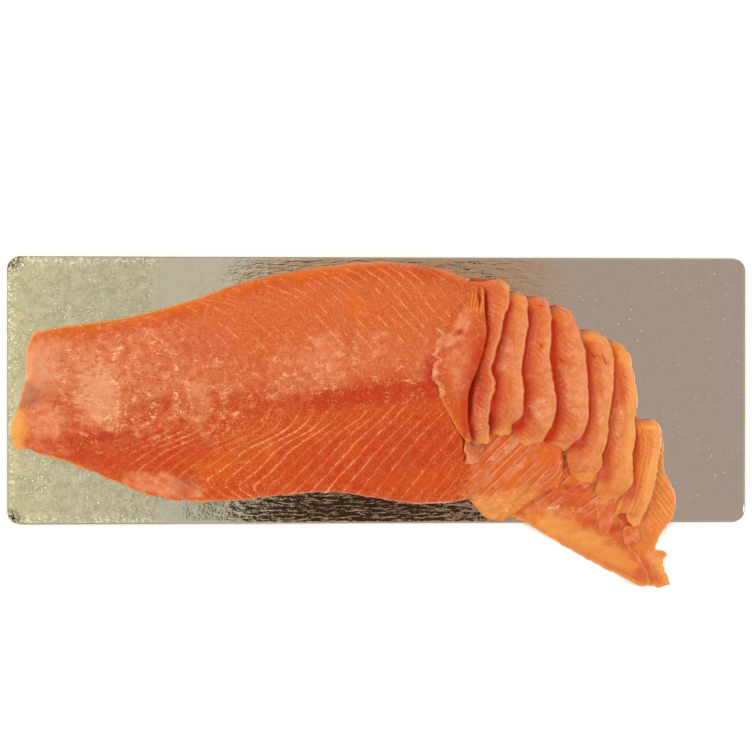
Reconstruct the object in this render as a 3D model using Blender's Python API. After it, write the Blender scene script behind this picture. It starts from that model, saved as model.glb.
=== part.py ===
"""A part-sliced side of smoked salmon on its foil-faced card board.

The uncut half of the side lies at the left. Towards the right it has been cut into
slices, and each slice is folded over to the right like a leaning hairpin, so that the
folds stand in a row and each one overhangs its right-hand neighbour. The belly ends of
the slices lie flat below the row and hang over the lower edge of the board.

Lengths are in millimetres and become metres in mesh_object(). +X runs along the board,
+Y goes from the belly to the back of the fish, +Z is up. The origin is the centre of the
board's underside.
"""
import math

import bmesh
import bpy
import numpy as np

MM = 0.001

# Driving dimensions
BOARD_LENGTH = 500.0
BOARD_WIDTH = 180.0
BOARD_THICK = 2.5
BOARD_CORNER = 8.5
SIDE_THICK = 21.0
SLICE_THICK = 2.3
ROLL = 3.4
GAP = 0.35
RIM = 0.8
LOW = 0.4

FLOOR = BOARD_THICK + GAP

bpy.context.scene.unit_settings.system = 'METRIC'
for leftover in list(bpy.data.objects):
    bpy.data.objects.remove(leftover, do_unlink=True)


def smooth(points, at):
    """Value at each place of `at` on a smooth line through (place, value) points."""
    place, value = np.array(sorted(points), float).T
    step = np.diff(value) / np.diff(place)
    slope = np.concatenate([[step[0]], (step[1:] + step[:-1]) / 2, [step[-1]]])
    flat = np.concatenate([[False], step[1:] * step[:-1] <= 0, [False]])
    slope[flat] = 0.0
    at = np.clip(at, place[0], place[-1])
    i = np.clip(np.searchsorted(place, at, side='right') - 1, 0, len(step) - 1)
    width = place[i + 1] - place[i]
    t = (at - place[i]) / width
    return (value[i] * (1 + 2 * t) * (1 - t) ** 2 + value[i + 1] * t * t * (3 - 2 * t)
            + width * (slope[i] * t * (1 - t) ** 2 - slope[i + 1] * t * t * (1 - t)))


def trace(points, fraction):
    """(x, y) places at fractions of the way along a smooth line through (x, y) points."""
    xy = np.array(points, float)
    chord = np.concatenate([[0.0], np.cumsum(np.hypot(*np.diff(xy, axis=0).T))])
    at = np.asarray(fraction) * chord[-1]
    columns = [smooth(list(zip(chord, xy[:, axis])), at) for axis in (0, 1)]
    return np.stack(columns, axis=-1)


def ramp(value, start, end):
    """0 below `start`, 1 above `end`, and smooth between them."""
    t = np.clip((value - start) / (end - start), 0.0, 1.0)
    return t * t * (3 - 2 * t)


def spread(count, crowd=0.6):
    """`count` fractions from 0 to 1 that crowd together towards both ends."""
    even = np.linspace(0.0, 1.0, count)
    return (1 - crowd) * even + crowd * (1 - np.cos(math.pi * even)) / 2


def patch(north, south, west, east, along, across):
    """Grid of (x, y) places inside four edge lines.

    North and south run from west to east; west and east run from north to south.
    """
    u = np.asarray(along)[:, None, None]
    v = np.asarray(across)[None, :, None]
    top, bottom = trace(north, along)[:, None], trace(south, along)[:, None]
    left, right = trace(west, across)[None], trace(east, across)[None]
    corners = ((1 - u) * ((1 - v) * top[0] + v * bottom[0])
               + u * ((1 - v) * top[-1] + v * bottom[-1]))
    return (1 - v) * top + v * bottom + (1 - u) * left + u * right - corners


def rim_distance(grid):
    """Distance of each grid place from the nearest edge of its patch."""
    flat = grid.reshape(-1, 1, 2)
    edge = np.concatenate([grid[0], grid[-1], grid[:, 0], grid[:, -1]])
    near = np.hypot(flat[..., 0] - edge[None, :, 0], flat[..., 1] - edge[None, :, 1])
    return near.min(axis=1).reshape(grid.shape[:2])


def rounded(distance, radius):
    """Quarter-round rise from 0 at an edge to 1 at `radius` inside it."""
    return np.sqrt(1 - (1 - np.clip(distance / radius, 0.0, 1.0)) ** 2)


def material(name, color, roughness, metallic=0.0):
    made = bpy.data.materials.new(name)
    made.use_nodes = True
    surface = made.node_tree.nodes['Principled BSDF']
    surface.inputs['Base Color'].default_value = (*color, 1.0)
    surface.inputs['Roughness'].default_value = roughness
    surface.inputs['Metallic'].default_value = metallic
    return made


def mesh_object(name, places, faces, surface):
    """Object from millimetre places, with its faces turned outward and shaded smooth."""
    mesh = bpy.data.meshes.new(name)
    mesh.from_pydata([tuple(float(c) * MM for c in place) for place in places], [], faces)
    shaper = bmesh.new()
    shaper.from_mesh(mesh)
    bmesh.ops.recalc_face_normals(shaper, faces=shaper.faces)
    shaper.to_mesh(mesh)
    shaper.free()
    mesh.materials.append(surface)
    mesh.shade_smooth()
    mesh.set_sharp_from_angle(angle=math.radians(50))
    made = bpy.data.objects.new(name, mesh)
    bpy.context.collection.objects.link(made)
    return made


def slab(name, grid, bottom, top, surface):
    """Closed body between two heights over a grid of places."""
    rows, columns = grid.shape[:2]
    size = rows * columns
    upper = np.dstack([grid, top]).reshape(-1, 3)
    lower = np.dstack([grid, bottom]).reshape(-1, 3)
    faces = []
    for i in range(rows - 1):
        for j in range(columns - 1):
            a, b = i * columns + j, (i + 1) * columns + j
            faces.append((a, b, b + 1, a + 1))
            faces.append((size + a, size + a + 1, size + b + 1, size + b))
    ring = ([i * columns for i in range(rows)]
            + [(rows - 1) * columns + j for j in range(1, columns)]
            + [i * columns + columns - 1 for i in range(rows - 2, -1, -1)]
            + [j for j in range(columns - 2, 0, -1)])
    for a, b in zip(ring, ring[1:] + ring[:1]):
        faces.append((a, b, size + b, size + a))
    return mesh_object(name, np.concatenate([upper, lower]), faces, surface)


def loft(name, rings, surface):
    """Closed body through a row of closed rings, with a flat cap at each end."""
    count, around = len(rings), len(rings[0])
    faces = []
    for i in range(count - 1):
        for j in range(around):
            k = (j + 1) % around
            faces.append((i * around + j, i * around + k, (i + 1) * around + k, (i + 1) * around + j))
    faces.append(tuple(range(around)))
    faces.append(tuple((count - 1) * around + j for j in range(around)))
    return mesh_object(name, np.concatenate(rings), faces, surface)


def ribbon_ring(centre, thick, y):
    """Closed ring of a sheet that follows a centre line in the x-z plane at `y`."""
    lane = np.gradient(centre, axis=0)
    lane /= np.hypot(lane[:, 0], lane[:, 1])[:, None]
    normal = np.stack([-lane[:, 1], lane[:, 0]], axis=1)
    half = np.full(len(centre), thick / 2)
    half[[0, -1]] *= 0.45
    outer = centre + normal * half[:, None]
    inner = centre - normal * half[:, None]
    ring = np.concatenate([outer, inner[::-1]])
    return np.column_stack([ring[:, 0], np.full(len(ring), y), ring[:, 1]])


# The uncut side ------------------------------------------------------------------------
# Its outline is four lines: the back (upper) edge and the belly (lower) edge as heights
# over x, and the squared tail end and the cut face as places over y.
BACK_EDGE = [(-248, 27), (-232, 38.5), (-213, 43), (-184, 47), (-154, 53), (-124, 62), (-94, 72.5),
             (-64, 80), (-33, 84), (-7, 87), (27, 85), (47, 81), (63, 75)]
BELLY_EDGE = [(-248, -30), (-238, -39), (-213, -47), (-174, -63), (-154, -71), (-134, -75), (-104, -75),
              (-64, -71), (-33, -69), (-3, -73), (27, -77), (47, -76), (66, -73)]
TAIL_END = [(38.5, -232), (30, -236), (7, -238), (-5, -241), (-16, -244), (-26, -247), (-33, -247),
            (-40, -242)]
CUT_FACE = [(75, 63), (55, 60), (35, 57), (15, 53), (0, 49), (-18, 51), (-34, 61), (-46, 71),
            (-60, 74), (-73, 66)]
# Thickness across the side, from the back edge (0) to the belly edge (1), and along it.
ACROSS = [(0.0, 0.42), (0.08, 0.74), (0.2, 0.95), (0.34, 1.0), (0.5, 0.93), (0.7, 0.72), (0.88, 0.5),
          (1.0, 0.4)]
ALONG = [(-248, 0.6), (-200, 0.72), (-120, 0.87), (-40, 0.96), (20, 1.0), (80, 1.0)]


def crown(x, y):
    """Height of the side's upper surface before its edges are rounded off."""
    back, belly = smooth(BACK_EDGE, x), smooth(BELLY_EDGE, x)
    across = (back - y) / (back - belly)
    return FLOOR + SIDE_THICK * smooth(ALONG, x) * smooth(ACROSS, across)


def side_top(x, y):
    """Height of the uncut side, with rounded edges and the sloping cut face."""
    from_back = smooth(BACK_EDGE, x) - y
    from_belly = y - smooth(BELLY_EDGE, x)
    from_tail = x - smooth(TAIL_END, y)
    from_cut = smooth(CUT_FACE, y) - x
    edge = rounded(np.minimum(from_back, from_belly), 5.0) * rounded(from_tail, 9.0)
    slope = 10.0 + 5.0 * ramp(-y, 30, 50)
    cut = np.sin(np.clip(from_cut / slope, 0.0, 1.0) * math.pi / 2)
    return FLOOR + RIM + (crown(x, y) - FLOOR - RIM) * edge * cut


def edge_line(points, start, end, along_x):
    """Points of an outline line between two places, as (x, y)."""
    place = np.linspace(start, end, 24)
    value = smooth(points, place)
    return list(zip(place, value)) if along_x else list(zip(value, place))


flesh = material('smoked_salmon', (0.69, 0.14, 0.05), 0.32)
back_left, back_right = (-232.0, 38.5), (63.0, 75.0)
belly_left, belly_right = (-242.0, -40.0), (66.0, -73.0)
side_grid = patch(
    [back_left] + edge_line(BACK_EDGE, -231, 62, True) + [back_right],
    [belly_left] + edge_line(BELLY_EDGE, -238, 65, True) + [belly_right],
    [back_left] + edge_line(TAIL_END, 38, -39, False) + [belly_left],
    [back_right] + edge_line(CUT_FACE, 74, -72, False) + [belly_right],
    spread(32, 0.6), spread(13, 0.6))
side_height = side_top(side_grid[..., 0], side_grid[..., 1])
side_height[[0, -1]] = FLOOR + RIM
side_height[:, [0, -1]] = FLOOR + RIM
slab('salmon_side', side_grid, np.full(side_height.shape, FLOOR), side_height, flesh)


# Belly ends of the slices --------------------------------------------------------------
# Three flat sheets below the folds. The second and the base sheet hang over the lower
# edge of the board and nearly reach the table. Each lies on the one to its right.
def over_edge(y, drop_start, drop_end):
    """Underside of a sheet that lies on the board and droops past its lower edge."""
    return LOW + (FLOOR + 0.1 - LOW) * ramp(y, drop_end, drop_start)


def sheet(name, grid, underside, thick, surface, radius=2.2):
    """Flat slice with thin rounded edges, lying at the height `underside` gives.

    `thick` is one thickness, or one for each place of the grid.
    """
    bottom = underside(grid[..., 0], grid[..., 1])
    body = RIM + (thick - RIM) * rounded(rim_distance(grid), radius)
    return slab(name, grid, bottom, bottom + body, surface)


BASE_THICK = 2.0
BELLY_THICK = 3.0


def base_underside(x, y):
    return over_edge(y, -93.0, -108.0) + 0 * x


def belly_2_underside(x, y):
    over_base = (BASE_THICK + GAP + 0.3) * ramp(x, 161, 170) * ramp(-y, 86, 94)
    return over_edge(y, -93.0, -108.0) + over_base


def belly_1_underside(x, y):
    over_second = (BELLY_THICK + GAP + 0.1) * ramp(x + 0.9 * np.maximum(-62 - y, 0), 99, 107)
    over_second *= ramp(-y, 31, 40)
    on_board = FLOOR + 0.1 + over_second
    on_side = side_top(x, y) + 3 * GAP
    return np.maximum(on_board, on_side)


base_grid = patch(
    [(180, -27), (186, -26), (194.5, -27)],
    [(176, -128), (184, -133), (191, -135.5), (202, -134)],
    [(180, -27), (179, -60), (177, -90), (172, -110), (176, -128)],
    [(194.5, -27), (196, -34), (197.3, -57), (203.5, -69), (204.8, -76), (201.4, -90), (195.9, -97),
     (191.8, -108), (199.4, -113), (197.3, -117), (199.4, -126), (202, -134)],
    spread(7), spread(20, 0.3))
sheet('base_slice', base_grid, base_underside, BASE_THICK, flesh)

belly_2_grid = patch(
    [(114, -40), (135, -43), (150, -54), (163, -59)],
    [(85.3, -84.5), (95.5, -89), (112.6, -98.5), (129.7, -108), (150.3, -117.5), (171, -128),
     (181, -133.5), (188, -131.5)],
    [(114, -40), (112, -52), (108, -66), (97, -78), (85.3, -84.5)],
    [(163, -59), (163, -88), (170, -104), (180, -118), (188, -131.5)],
    spread(15, 0.4), spread(10, 0.5))
sheet('belly_slice_2', belly_2_grid, belly_2_underside, BELLY_THICK, flesh)

belly_1_grid = patch(
    [(75, -31), (84, -19), (100, -17), (111, -22), (116, -30)],
    [(65, -79), (71, -87.5), (81.3, -89.5), (89.4, -85.6), (103, -75.5), (118, -69)],
    [(75, -31), (69, -50), (64, -62), (65, -79)],
    [(116, -30), (119, -42), (121, -54), (118, -69)],
    spread(13, 0.4), spread(11, 0.4))
belly_1_thick = 1.6 + 1.2 * ramp(-belly_1_grid[..., 1], 26, 42)
sheet('belly_slice_1', belly_1_grid, belly_1_underside, belly_1_thick, flesh)


# Folded slices -------------------------------------------------------------------------
# Each fold is read at a row of places down its length, from the back end to the belly
# end: y, the fold's outer edge in x, how far its legs reach to the left, the crest's
# height and the height of the foot's middle. The foot stands on the board under the row
# and climbs onto the belly sheets at its lower end.
LEG = (SLICE_THICK + 0.5) / 2
FOOT = FLOOR + LEG + SLICE_THICK / 2
ON_SHEET = BELLY_THICK + 0.1 + GAP
ON_THIN = 1.6 + 0.1 + GAP


def hairpin(edge, reach, crest, foot):
    """Centre line of a folded slice: lower leg, round fold, upper leg."""
    bend = ROLL - SLICE_THICK / 2
    middle = np.array([edge - ROLL, crest - ROLL])
    down = np.array([edge - reach, foot]) - middle
    length = np.hypot(*down)
    down /= length
    normal = np.array([down[1], -down[0]])
    part = np.linspace(1.0, 0.18, 4)
    spacing = LEG + (bend - LEG) * np.exp(-(part * length / 7.0) ** 2)
    bow = 0.9 * np.sin(math.pi * part)
    axis = middle + down * (part * length)[:, None] + normal * bow[:, None]
    lower = axis - normal * spacing[:, None]
    upper = axis + normal * spacing[:, None]
    turn = np.linspace(0.0, math.pi, 6)[:, None]
    arc = middle + bend * (-np.cos(turn) * normal - np.sin(turn) * down)
    return np.concatenate([lower, arc, upper[::-1]])


def folded_slice(name, rows, stations, surface):
    """Folded slice through rows of (y, edge, reach, crest, foot)."""
    table = np.array(rows, float)
    fraction = spread(stations, 0.45)
    y = table[0, 0] + (table[-1, 0] - table[0, 0]) * fraction
    edge, reach, crest, foot = [smooth(list(zip(table[:, 0], table[:, k])), y) for k in range(1, 5)]
    rings = [ribbon_ring(hairpin(*values), SLICE_THICK, place)
             for place, *values in zip(y, edge, reach, crest, foot)]
    return loft(name, rings, surface)


FOLDS = {
    'slice_1': [
        (73, 82.0, 15, 13.5, FOOT), (67, 86.9, 20, 19.5, FOOT), (50, 83.6, 19, 22.0, FOOT),
        (34, 79.6, 18, 22.0, FOOT), (14, 74.3, 16, 21.5, FOOT), (4, 76.0, 20, 21.0, FOOT),
        (-7, 74.3, 19, 20.0, FOOT + 0.5), (-20, 73.0, 12, 18.5, FOOT + 6.5),
        (-35, 73.6, 9, 16.5, FOOT + 7.5)],
    'slice_2': [
        (66.5, 95.0, 16, 12.5, FOOT), (60, 99.1, 21, 18.5, FOOT), (37, 97.8, 25, 21.0, FOOT),
        (14, 94.5, 28, 20.5, FOOT), (-3, 95.8, 28, 19.5, FOOT),
        (-14, 95.8, 24, 18.0, FOOT + ON_THIN), (-24, 92.5, 15, 16.0, FOOT + ON_THIN + 0.4),
        (-29, 87.0, 10, 14.0, FOOT + ON_SHEET)],
    'slice_3': [
        (63, 110.0, 13, 12.0, FOOT), (57, 114.0, 21, 17.5, FOOT), (20, 113.4, 27, 20.0, FOOT),
        (7, 115.4, 28, 19.5, FOOT), (-6, 117.4, 29, 18.5, FOOT),
        (-16, 117.0, 25, 18.2, FOOT + ON_THIN), (-29, 113.5, 16, 16.2, FOOT + ON_SHEET),
        (-35, 109.5, 12, 15.0, FOOT + ON_SHEET + 0.4)],
    'slice_4': [
        (57, 122.0, 14, 11.5, FOOT), (53, 127.5, 18, 15.5, FOOT), (40, 133.0, 26, 18.5, FOOT),
        (27, 136.4, 30, 19.0, FOOT), (4, 139.1, 31, 18.5, FOOT), (-13, 139.2, 29, 18.0, FOOT),
        (-26, 137.8, 22, 17.4, FOOT + 1.5), (-35, 135.1, 16, 15.3, FOOT + ON_SHEET),
        (-41, 130.4, 11, 14.0, FOOT + ON_SHEET)],
    'slice_5': [
        (40, 146.0, 14, 11.0, FOOT), (36, 151.5, 18, 15.0, FOOT), (17, 156.9, 24, 17.5, FOOT),
        (-10, 154.9, 21, 16.8, FOOT), (-26, 153.6, 19, 16.0, FOOT),
        (-36, 151.7, 15, 15.5, FOOT + 2), (-45, 150.2, 21, 14.8, FOOT + ON_SHEET),
        (-61, 149.6, 21, 13.8, FOOT + ON_SHEET + 0.4)],
    'slice_6': [
        (33, 160.5, 10, 10.2, FOOT), (28, 166.0, 16, 13.0, FOOT), (15, 170.3, 20, 14.5, FOOT),
        (-3, 172.3, 22, 15.2, FOOT), (-26, 171.7, 20, 15.5, FOOT),
        (-50, 170.3, 17, 15.5, FOOT + 1.5), (-67, 169.7, 17, 13.8, FOOT + ON_SHEET),
        (-73, 167.0, 14, 13.2, FOOT + ON_SHEET)],
    'slice_7': [
        (-22, 184.0, 13, 10.0, FOOT), (-28, 190.0, 20, 11.8, FOOT), (-54, 187.8, 19, 12.0, FOOT),
        (-68, 184.4, 14, 12.0, FOOT), (-78, 181.7, 14, 12.0, FOOT),
        (-91, 176.3, 11, 11.8, FOOT + 1.5)],
}
for fold_name, fold_rows in FOLDS.items():
    folded_slice(fold_name, fold_rows, 13, flesh)


# The slice still half on the side -------------------------------------------------------
# Its upper leg lies on the uncut side and feathers out to the left. Its right edge curls
# over the cut face, and a short lower leg runs back underneath.
FLAP_EDGE = [(67, 69.3), (53, 68.6), (40, 70), (27, 67.3), (17, 64.7), (2, 59.4), (-10, 58.1),
             (-20, 58.3), (-34, 62.1)]
FLAP_LEFT = [(67, 61), (60, 57), (48, 50), (39, 41), (30, 37), (22, 35), (10, 35.5), (-3, 39),
             (-14, 45), (-24, 50), (-34, 55)]


def flap_line(y):
    """Centre line of the half-lifted slice at one place down its length."""
    edge, left = smooth(FLAP_EDGE, y), smooth(FLAP_LEFT, y)
    bend = ROLL - SLICE_THICK / 2
    turn_x = edge - ROLL
    reach = np.linspace(left, turn_x, 6)
    upper = crown(reach, y) + 2 * GAP + SLICE_THICK / 2
    middle = np.array([turn_x, upper[-1] - bend])
    turn = np.linspace(0.2, math.pi * 0.78, 5)[:, None]
    arc = middle + bend * np.hstack([np.sin(turn), np.cos(turn)])
    leg_way = np.array([-math.sin(math.pi * 0.28), -math.cos(math.pi * 0.28)])
    lower = arc[-1] + leg_way * np.array([[1.5], [3.5]])
    return np.concatenate([np.column_stack([reach, upper]), arc, lower])


flap_y = 66.0 - 100.0 * spread(16, 0.3)
loft('slice_0', [ribbon_ring(flap_line(y), SLICE_THICK, y) for y in flap_y], flesh)


# Small torn pieces ----------------------------------------------------------------------
def scrap(name, north, south, west, east, underside, thick):
    grid = patch(north, south, west, east, spread(5), spread(5))
    return sheet(name, grid, underside, thick, flesh, radius=1.2)


scrap('scrap_tab', [(58.5, -37.5), (64, -37), (69, -37)], [(60, -47), (63, -48), (66, -48)],
      [(58.5, -37.5), (59, -42), (60, -47)], [(69, -37), (68, -42), (66, -48)],
      lambda x, y: side_top(x, y) + 3 * GAP, 1.3)
scrap('scrap_tongue', [(146, -78), (151, -77), (156, -78)], [(149, -99), (152, -99), (155.5, -98)],
      [(146, -78), (146, -85), (151, -91), (149, -99)], [(156, -78), (161, -83), (160, -89), (155.5, -98)],
      lambda x, y: belly_2_underside(x, y) + BELLY_THICK + 2 * GAP, 2.0)
scrap('scrap_corner', [(166, -96), (170, -95.5), (175, -95)], [(167.5, -106), (172, -107), (177, -107)],
      [(166, -96), (166, -101), (167.5, -106)], [(175, -95), (176.5, -101), (177, -107)],
      lambda x, y: belly_2_underside(x, y) + BELLY_THICK + 2 * GAP, 2.0)


# The board ------------------------------------------------------------------------------
def board_outline():
    """Rectangle whose corners are cut off and slightly rounded."""
    half_x, half_y = BOARD_LENGTH / 2, BOARD_WIDTH / 2
    outline = []
    for quarter in range(4):
        side_x = 1 if quarter in (0, 3) else -1
        side_y = 1 if quarter in (0, 1) else -1
        centre = (side_x * (half_x - BOARD_CORNER), side_y * (half_y - BOARD_CORNER))
        for step in range(5):
            angle = math.radians(90 * quarter + 22.5 * step)
            outline.append((centre[0] + BOARD_CORNER * math.cos(angle),
                            centre[1] + BOARD_CORNER * math.sin(angle)))
    return outline


card = material('foil_card', (0.45, 0.40, 0.33), 0.3, 0.8)
outline = board_outline()
count = len(outline)
places = [(x, y, z) for z in (0.0, BOARD_THICK) for x, y in outline]
faces = [(i, (i + 1) % count, count + (i + 1) % count, count + i) for i in range(count)]
faces += [tuple(range(count)), tuple(range(count, 2 * count))]
board = mesh_object('board', places, faces, card)
bevel = board.modifiers.new('edge', 'BEVEL')
bevel.width = 0.5 * MM
bevel.segments = 1
bevel.limit_method = 'ANGLE'
bevel.angle_limit = math.radians(60)
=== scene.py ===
"""Looks of a part-sliced side of smoked salmon on a foil-faced card board.

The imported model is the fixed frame: +X runs along the board, +Y goes from the belly to the
back of the fish, +Z is up, and the origin is the centre of the board's underside. Places on
the object are worked out in millimetres and become metres in piece(). Those of the camera
and the lamps are metres, and the scale of a noise is its bumps per metre.
"""
import math

import bpy
import numpy as np
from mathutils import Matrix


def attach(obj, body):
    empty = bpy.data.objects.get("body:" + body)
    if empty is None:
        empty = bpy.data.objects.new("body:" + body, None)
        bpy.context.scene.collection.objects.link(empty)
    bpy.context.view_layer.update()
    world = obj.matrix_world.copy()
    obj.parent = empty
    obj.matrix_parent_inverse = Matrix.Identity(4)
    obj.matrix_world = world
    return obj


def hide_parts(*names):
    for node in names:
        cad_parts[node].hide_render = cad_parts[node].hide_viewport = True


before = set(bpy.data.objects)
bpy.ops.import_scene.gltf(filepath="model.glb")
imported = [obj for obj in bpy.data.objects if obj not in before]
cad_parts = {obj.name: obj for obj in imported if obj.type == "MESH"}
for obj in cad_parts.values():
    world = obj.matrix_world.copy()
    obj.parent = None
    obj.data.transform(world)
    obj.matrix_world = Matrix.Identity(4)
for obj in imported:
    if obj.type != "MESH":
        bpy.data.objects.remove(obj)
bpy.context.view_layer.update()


# Studio ----------------------------------------------------------------------------------
# A copy-stand set-up: the camera looks almost straight down on a pale table top, with a large
# soft lamp on either side, three small ones higher up and only the dark camera rig overhead.
def tint(code):
    """Linear colour of an sRGB hex code."""
    parts = np.array([int(code[i:i + 2], 16) for i in (1, 3, 5)]) / 255
    linear = np.where(parts <= 0.04045, parts / 12.92, ((parts + 0.055) / 1.055) ** 2.4)
    return (*[float(part) for part in linear], 1.0)


def feed(node, inputs):
    """Sets a shader node's inputs, in order or by name.

    Each is a plain value, the socket it is linked from, or a node, which stands for the
    first of its outputs in use.
    """
    for name, value in inputs.items() if isinstance(inputs, dict) else enumerate(inputs):
        if isinstance(value, bpy.types.Node):
            value = next(socket for socket in value.outputs if socket.enabled)
        if isinstance(value, bpy.types.NodeSocket):
            node.id_data.links.new(value, node.inputs[name])
        else:
            node.inputs[name].default_value = value


def add(tree, kind, inputs=(), **settings):
    """Shader node with its settings, plain input values and links from other nodes."""
    made = tree.nodes.new('ShaderNode' + kind)
    for name, value in settings.items():
        setattr(made, name, value)
    feed(made, inputs)
    return made


camera_data = bpy.data.cameras.new('camera')
camera_data.lens = 50.0
camera_data.sensor_width = 36.0
camera = bpy.data.objects.new('camera', camera_data)
camera.location = (-0.0214, 0.0121, 0.7097)
camera.rotation_euler = (-0.00343, -0.02682, 0.00034)
bpy.context.scene.collection.objects.link(camera)
bpy.context.scene.camera = camera
bpy.context.scene.view_settings.view_transform = 'Standard'

TABLE = 3.0
table_mesh = bpy.data.meshes.new('table_top')
table_mesh.from_pydata([(-TABLE, -TABLE, 0), (TABLE, -TABLE, 0), (TABLE, TABLE, 0), (-TABLE, TABLE, 0)],
                       [], [(0, 1, 2, 3)])
table = bpy.data.objects.new('table_top', table_mesh)
bpy.context.scene.collection.objects.link(table)
# Matt white laminate: no texture, only a broad soft gloss.
laminate = bpy.data.materials.new('white_laminate')
laminate.use_nodes = True
feed(laminate.node_tree.nodes['Principled BSDF'], {'Base Color': tint('#FBFBFB'), 'Roughness': 0.9})
table_mesh.materials.append(laminate)

for lamp_name, place, power, size, colour in (
        ('left_softbox', (-1.05, 0.25, 0.95), 8.5, 0.6, '#FFF4E2'),
        ('right_softbox', (1.1, -0.1, 0.9), 7.0, 0.6, '#FFF9F2'),
        ('downlight_1', (-1.25, 0.75, 1.6), 3.0, 0.13, '#FFF2DC'),
        ('downlight_2', (1.2, 0.9, 1.6), 3.0, 0.13, '#FFF6E8'),
        ('downlight_3', (0.25, -1.3, 1.6), 3.0, 0.13, '#FFF6E8')):
    lamp_data = bpy.data.lights.new(lamp_name, 'AREA')
    lamp_data.energy = power
    lamp_data.size = size
    lamp_data.color = tint(colour)[:3]
    lamp = bpy.data.objects.new(lamp_name, lamp_data)
    lamp.location = place
    aim = np.array(place) / np.linalg.norm(place)
    lamp.rotation_euler = (0.0, math.acos(aim[2]), math.atan2(aim[1], aim[0]))
    bpy.context.scene.collection.objects.link(lamp)

# The room: pale walls and a warm ceiling, brighter towards the left, with the dark camera rig
# and its brown surroundings in the middle, which the foil mirrors back in broken patches.
world = bpy.data.worlds.new('studio_room')
world.use_nodes = True
room = world.node_tree
room.nodes.clear()
ways = add(room, 'SeparateXYZ', [add(room, 'TexCoord').outputs['Generated']]).outputs
lift = add(room, 'Math', (ways['Z'], 0.05), operation='MAXIMUM')
lean_x, lean_y = [add(room, 'Math', (ways[way], lift), operation='DIVIDE') for way in 'XY']


def oval(at_x, at_y, half_x, half_y, soft):
    """Soft oval overhead: 1 inside, 0 past its edge, which is `soft` radii wide."""
    radii = []
    for lean, at, half in ((lean_x, at_x, half_x), (lean_y, at_y, half_y)):
        offset = add(room, 'Math', (lean, at), operation='SUBTRACT')
        radii.append(add(room, 'Math', (offset, half), operation='DIVIDE'))
    radius = add(room, 'VectorMath', [add(room, 'CombineXYZ', radii)], operation='LENGTH')
    return add(room, 'MapRange', (radius, 1.0 + soft / 2, 1.0 - soft / 2),
               interpolation_type='SMOOTHSTEP')


leftward, far_left, wall = [
    add(room, 'MapRange', (value, start, end), interpolation_type='SMOOTHSTEP')
    for value, start, end in ((lean_x, 0.12, -0.1), (lean_x, -0.2, -0.34), (ways['Z'], 0.9, 0.7))]
shell = (0.435, 0.352, 0.302, 1.0)
for share, colour in ((leftward, (0.575, 0.535, 0.415, 1.0)), (far_left, (0.64, 0.60, 0.45, 1.0)),
                      (oval(0.05, -0.06, 0.165, 0.36, 0.2), (0.46, 0.29, 0.18, 1.0)),
                      (oval(0.015, -0.10, 0.15, 0.145, 0.3), (0.042, 0.023, 0.013, 1.0)),
                      (wall, (0.80, 0.80, 0.80, 1.0))):
    shell = add(room, 'Mix', {0: share, 6: shell, 7: colour}, data_type='RGBA')
add(room, 'OutputWorld', [add(room, 'Background', {'Color': shell, 'Strength': 1.0})])
bpy.context.scene.world = world


# Board -----------------------------------------------------------------------------------
# A card sheet 2.5 mm thick, die-cut with snubbed corners and faced with silver metallised
# film. The film is finely crinkled all over and its corners are crushed from handling.
MM = 0.001
BOARD_LENGTH, BOARD_WIDTH, BOARD_THICK = 500.0, 180.0, 2.5
BOARD_CORNER = 8.5


def grain(x, y, size, seed):
    """Smooth random height from -1 to 1 with bumps about `size` millimetres apart."""
    lattice = np.random.default_rng(seed).uniform(-1, 1, (256, 256))
    u, v = np.asarray(x) / size, np.asarray(y) / size
    i, j = np.floor(u).astype(int), np.floor(v).astype(int)
    s, t = u - i, v - j
    s, t = s * s * (3 - 2 * s), t * t * (3 - 2 * t)
    i, j, i1, j1 = i % 256, j % 256, (i + 1) % 256, (j + 1) % 256
    near = lattice[i, j] * (1 - s) + lattice[i1, j] * s
    far = lattice[i, j1] * (1 - s) + lattice[i1, j1] * s
    return near * (1 - t) + far * t


def ramp(value, start, end):
    """0 below `start`, 1 above `end`, and smooth between them."""
    t = np.clip((value - start) / (end - start), 0.0, 1.0)
    return t * t * (3 - 2 * t)


def quads(rows, columns):
    """Faces of a grid of points numbered row by row."""
    a = (np.arange(rows - 1)[:, None] * columns + np.arange(columns - 1)[None]).ravel()
    return np.stack([a, a + columns, a + columns + 1, a + 1], axis=1)


def ring_of(rows, columns):
    """Border points of a grid in order round its edge."""
    index = np.arange(rows * columns).reshape(rows, columns)
    return np.concatenate([index[:-1, 0], index[-1, :-1], index[:0:-1, -1], index[0, :0:-1]])


def slab(top, floor):
    """Points, faces and border of a closed solid between a grid of points and a flat floor."""
    border = ring_of(*top.shape[:2])
    upper = top.reshape(-1, 3)
    lower = upper[border].copy()
    lower[:, 2] = floor
    count, first = len(border), len(upper)
    faces = quads(*top.shape[:2]).tolist()
    faces += [[border[i], border[(i + 1) % count], first + (i + 1) % count, first + i] for i in range(count)]
    faces.append([first + i for i in range(count)][::-1])
    return np.concatenate([upper, lower]), faces, border


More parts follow.
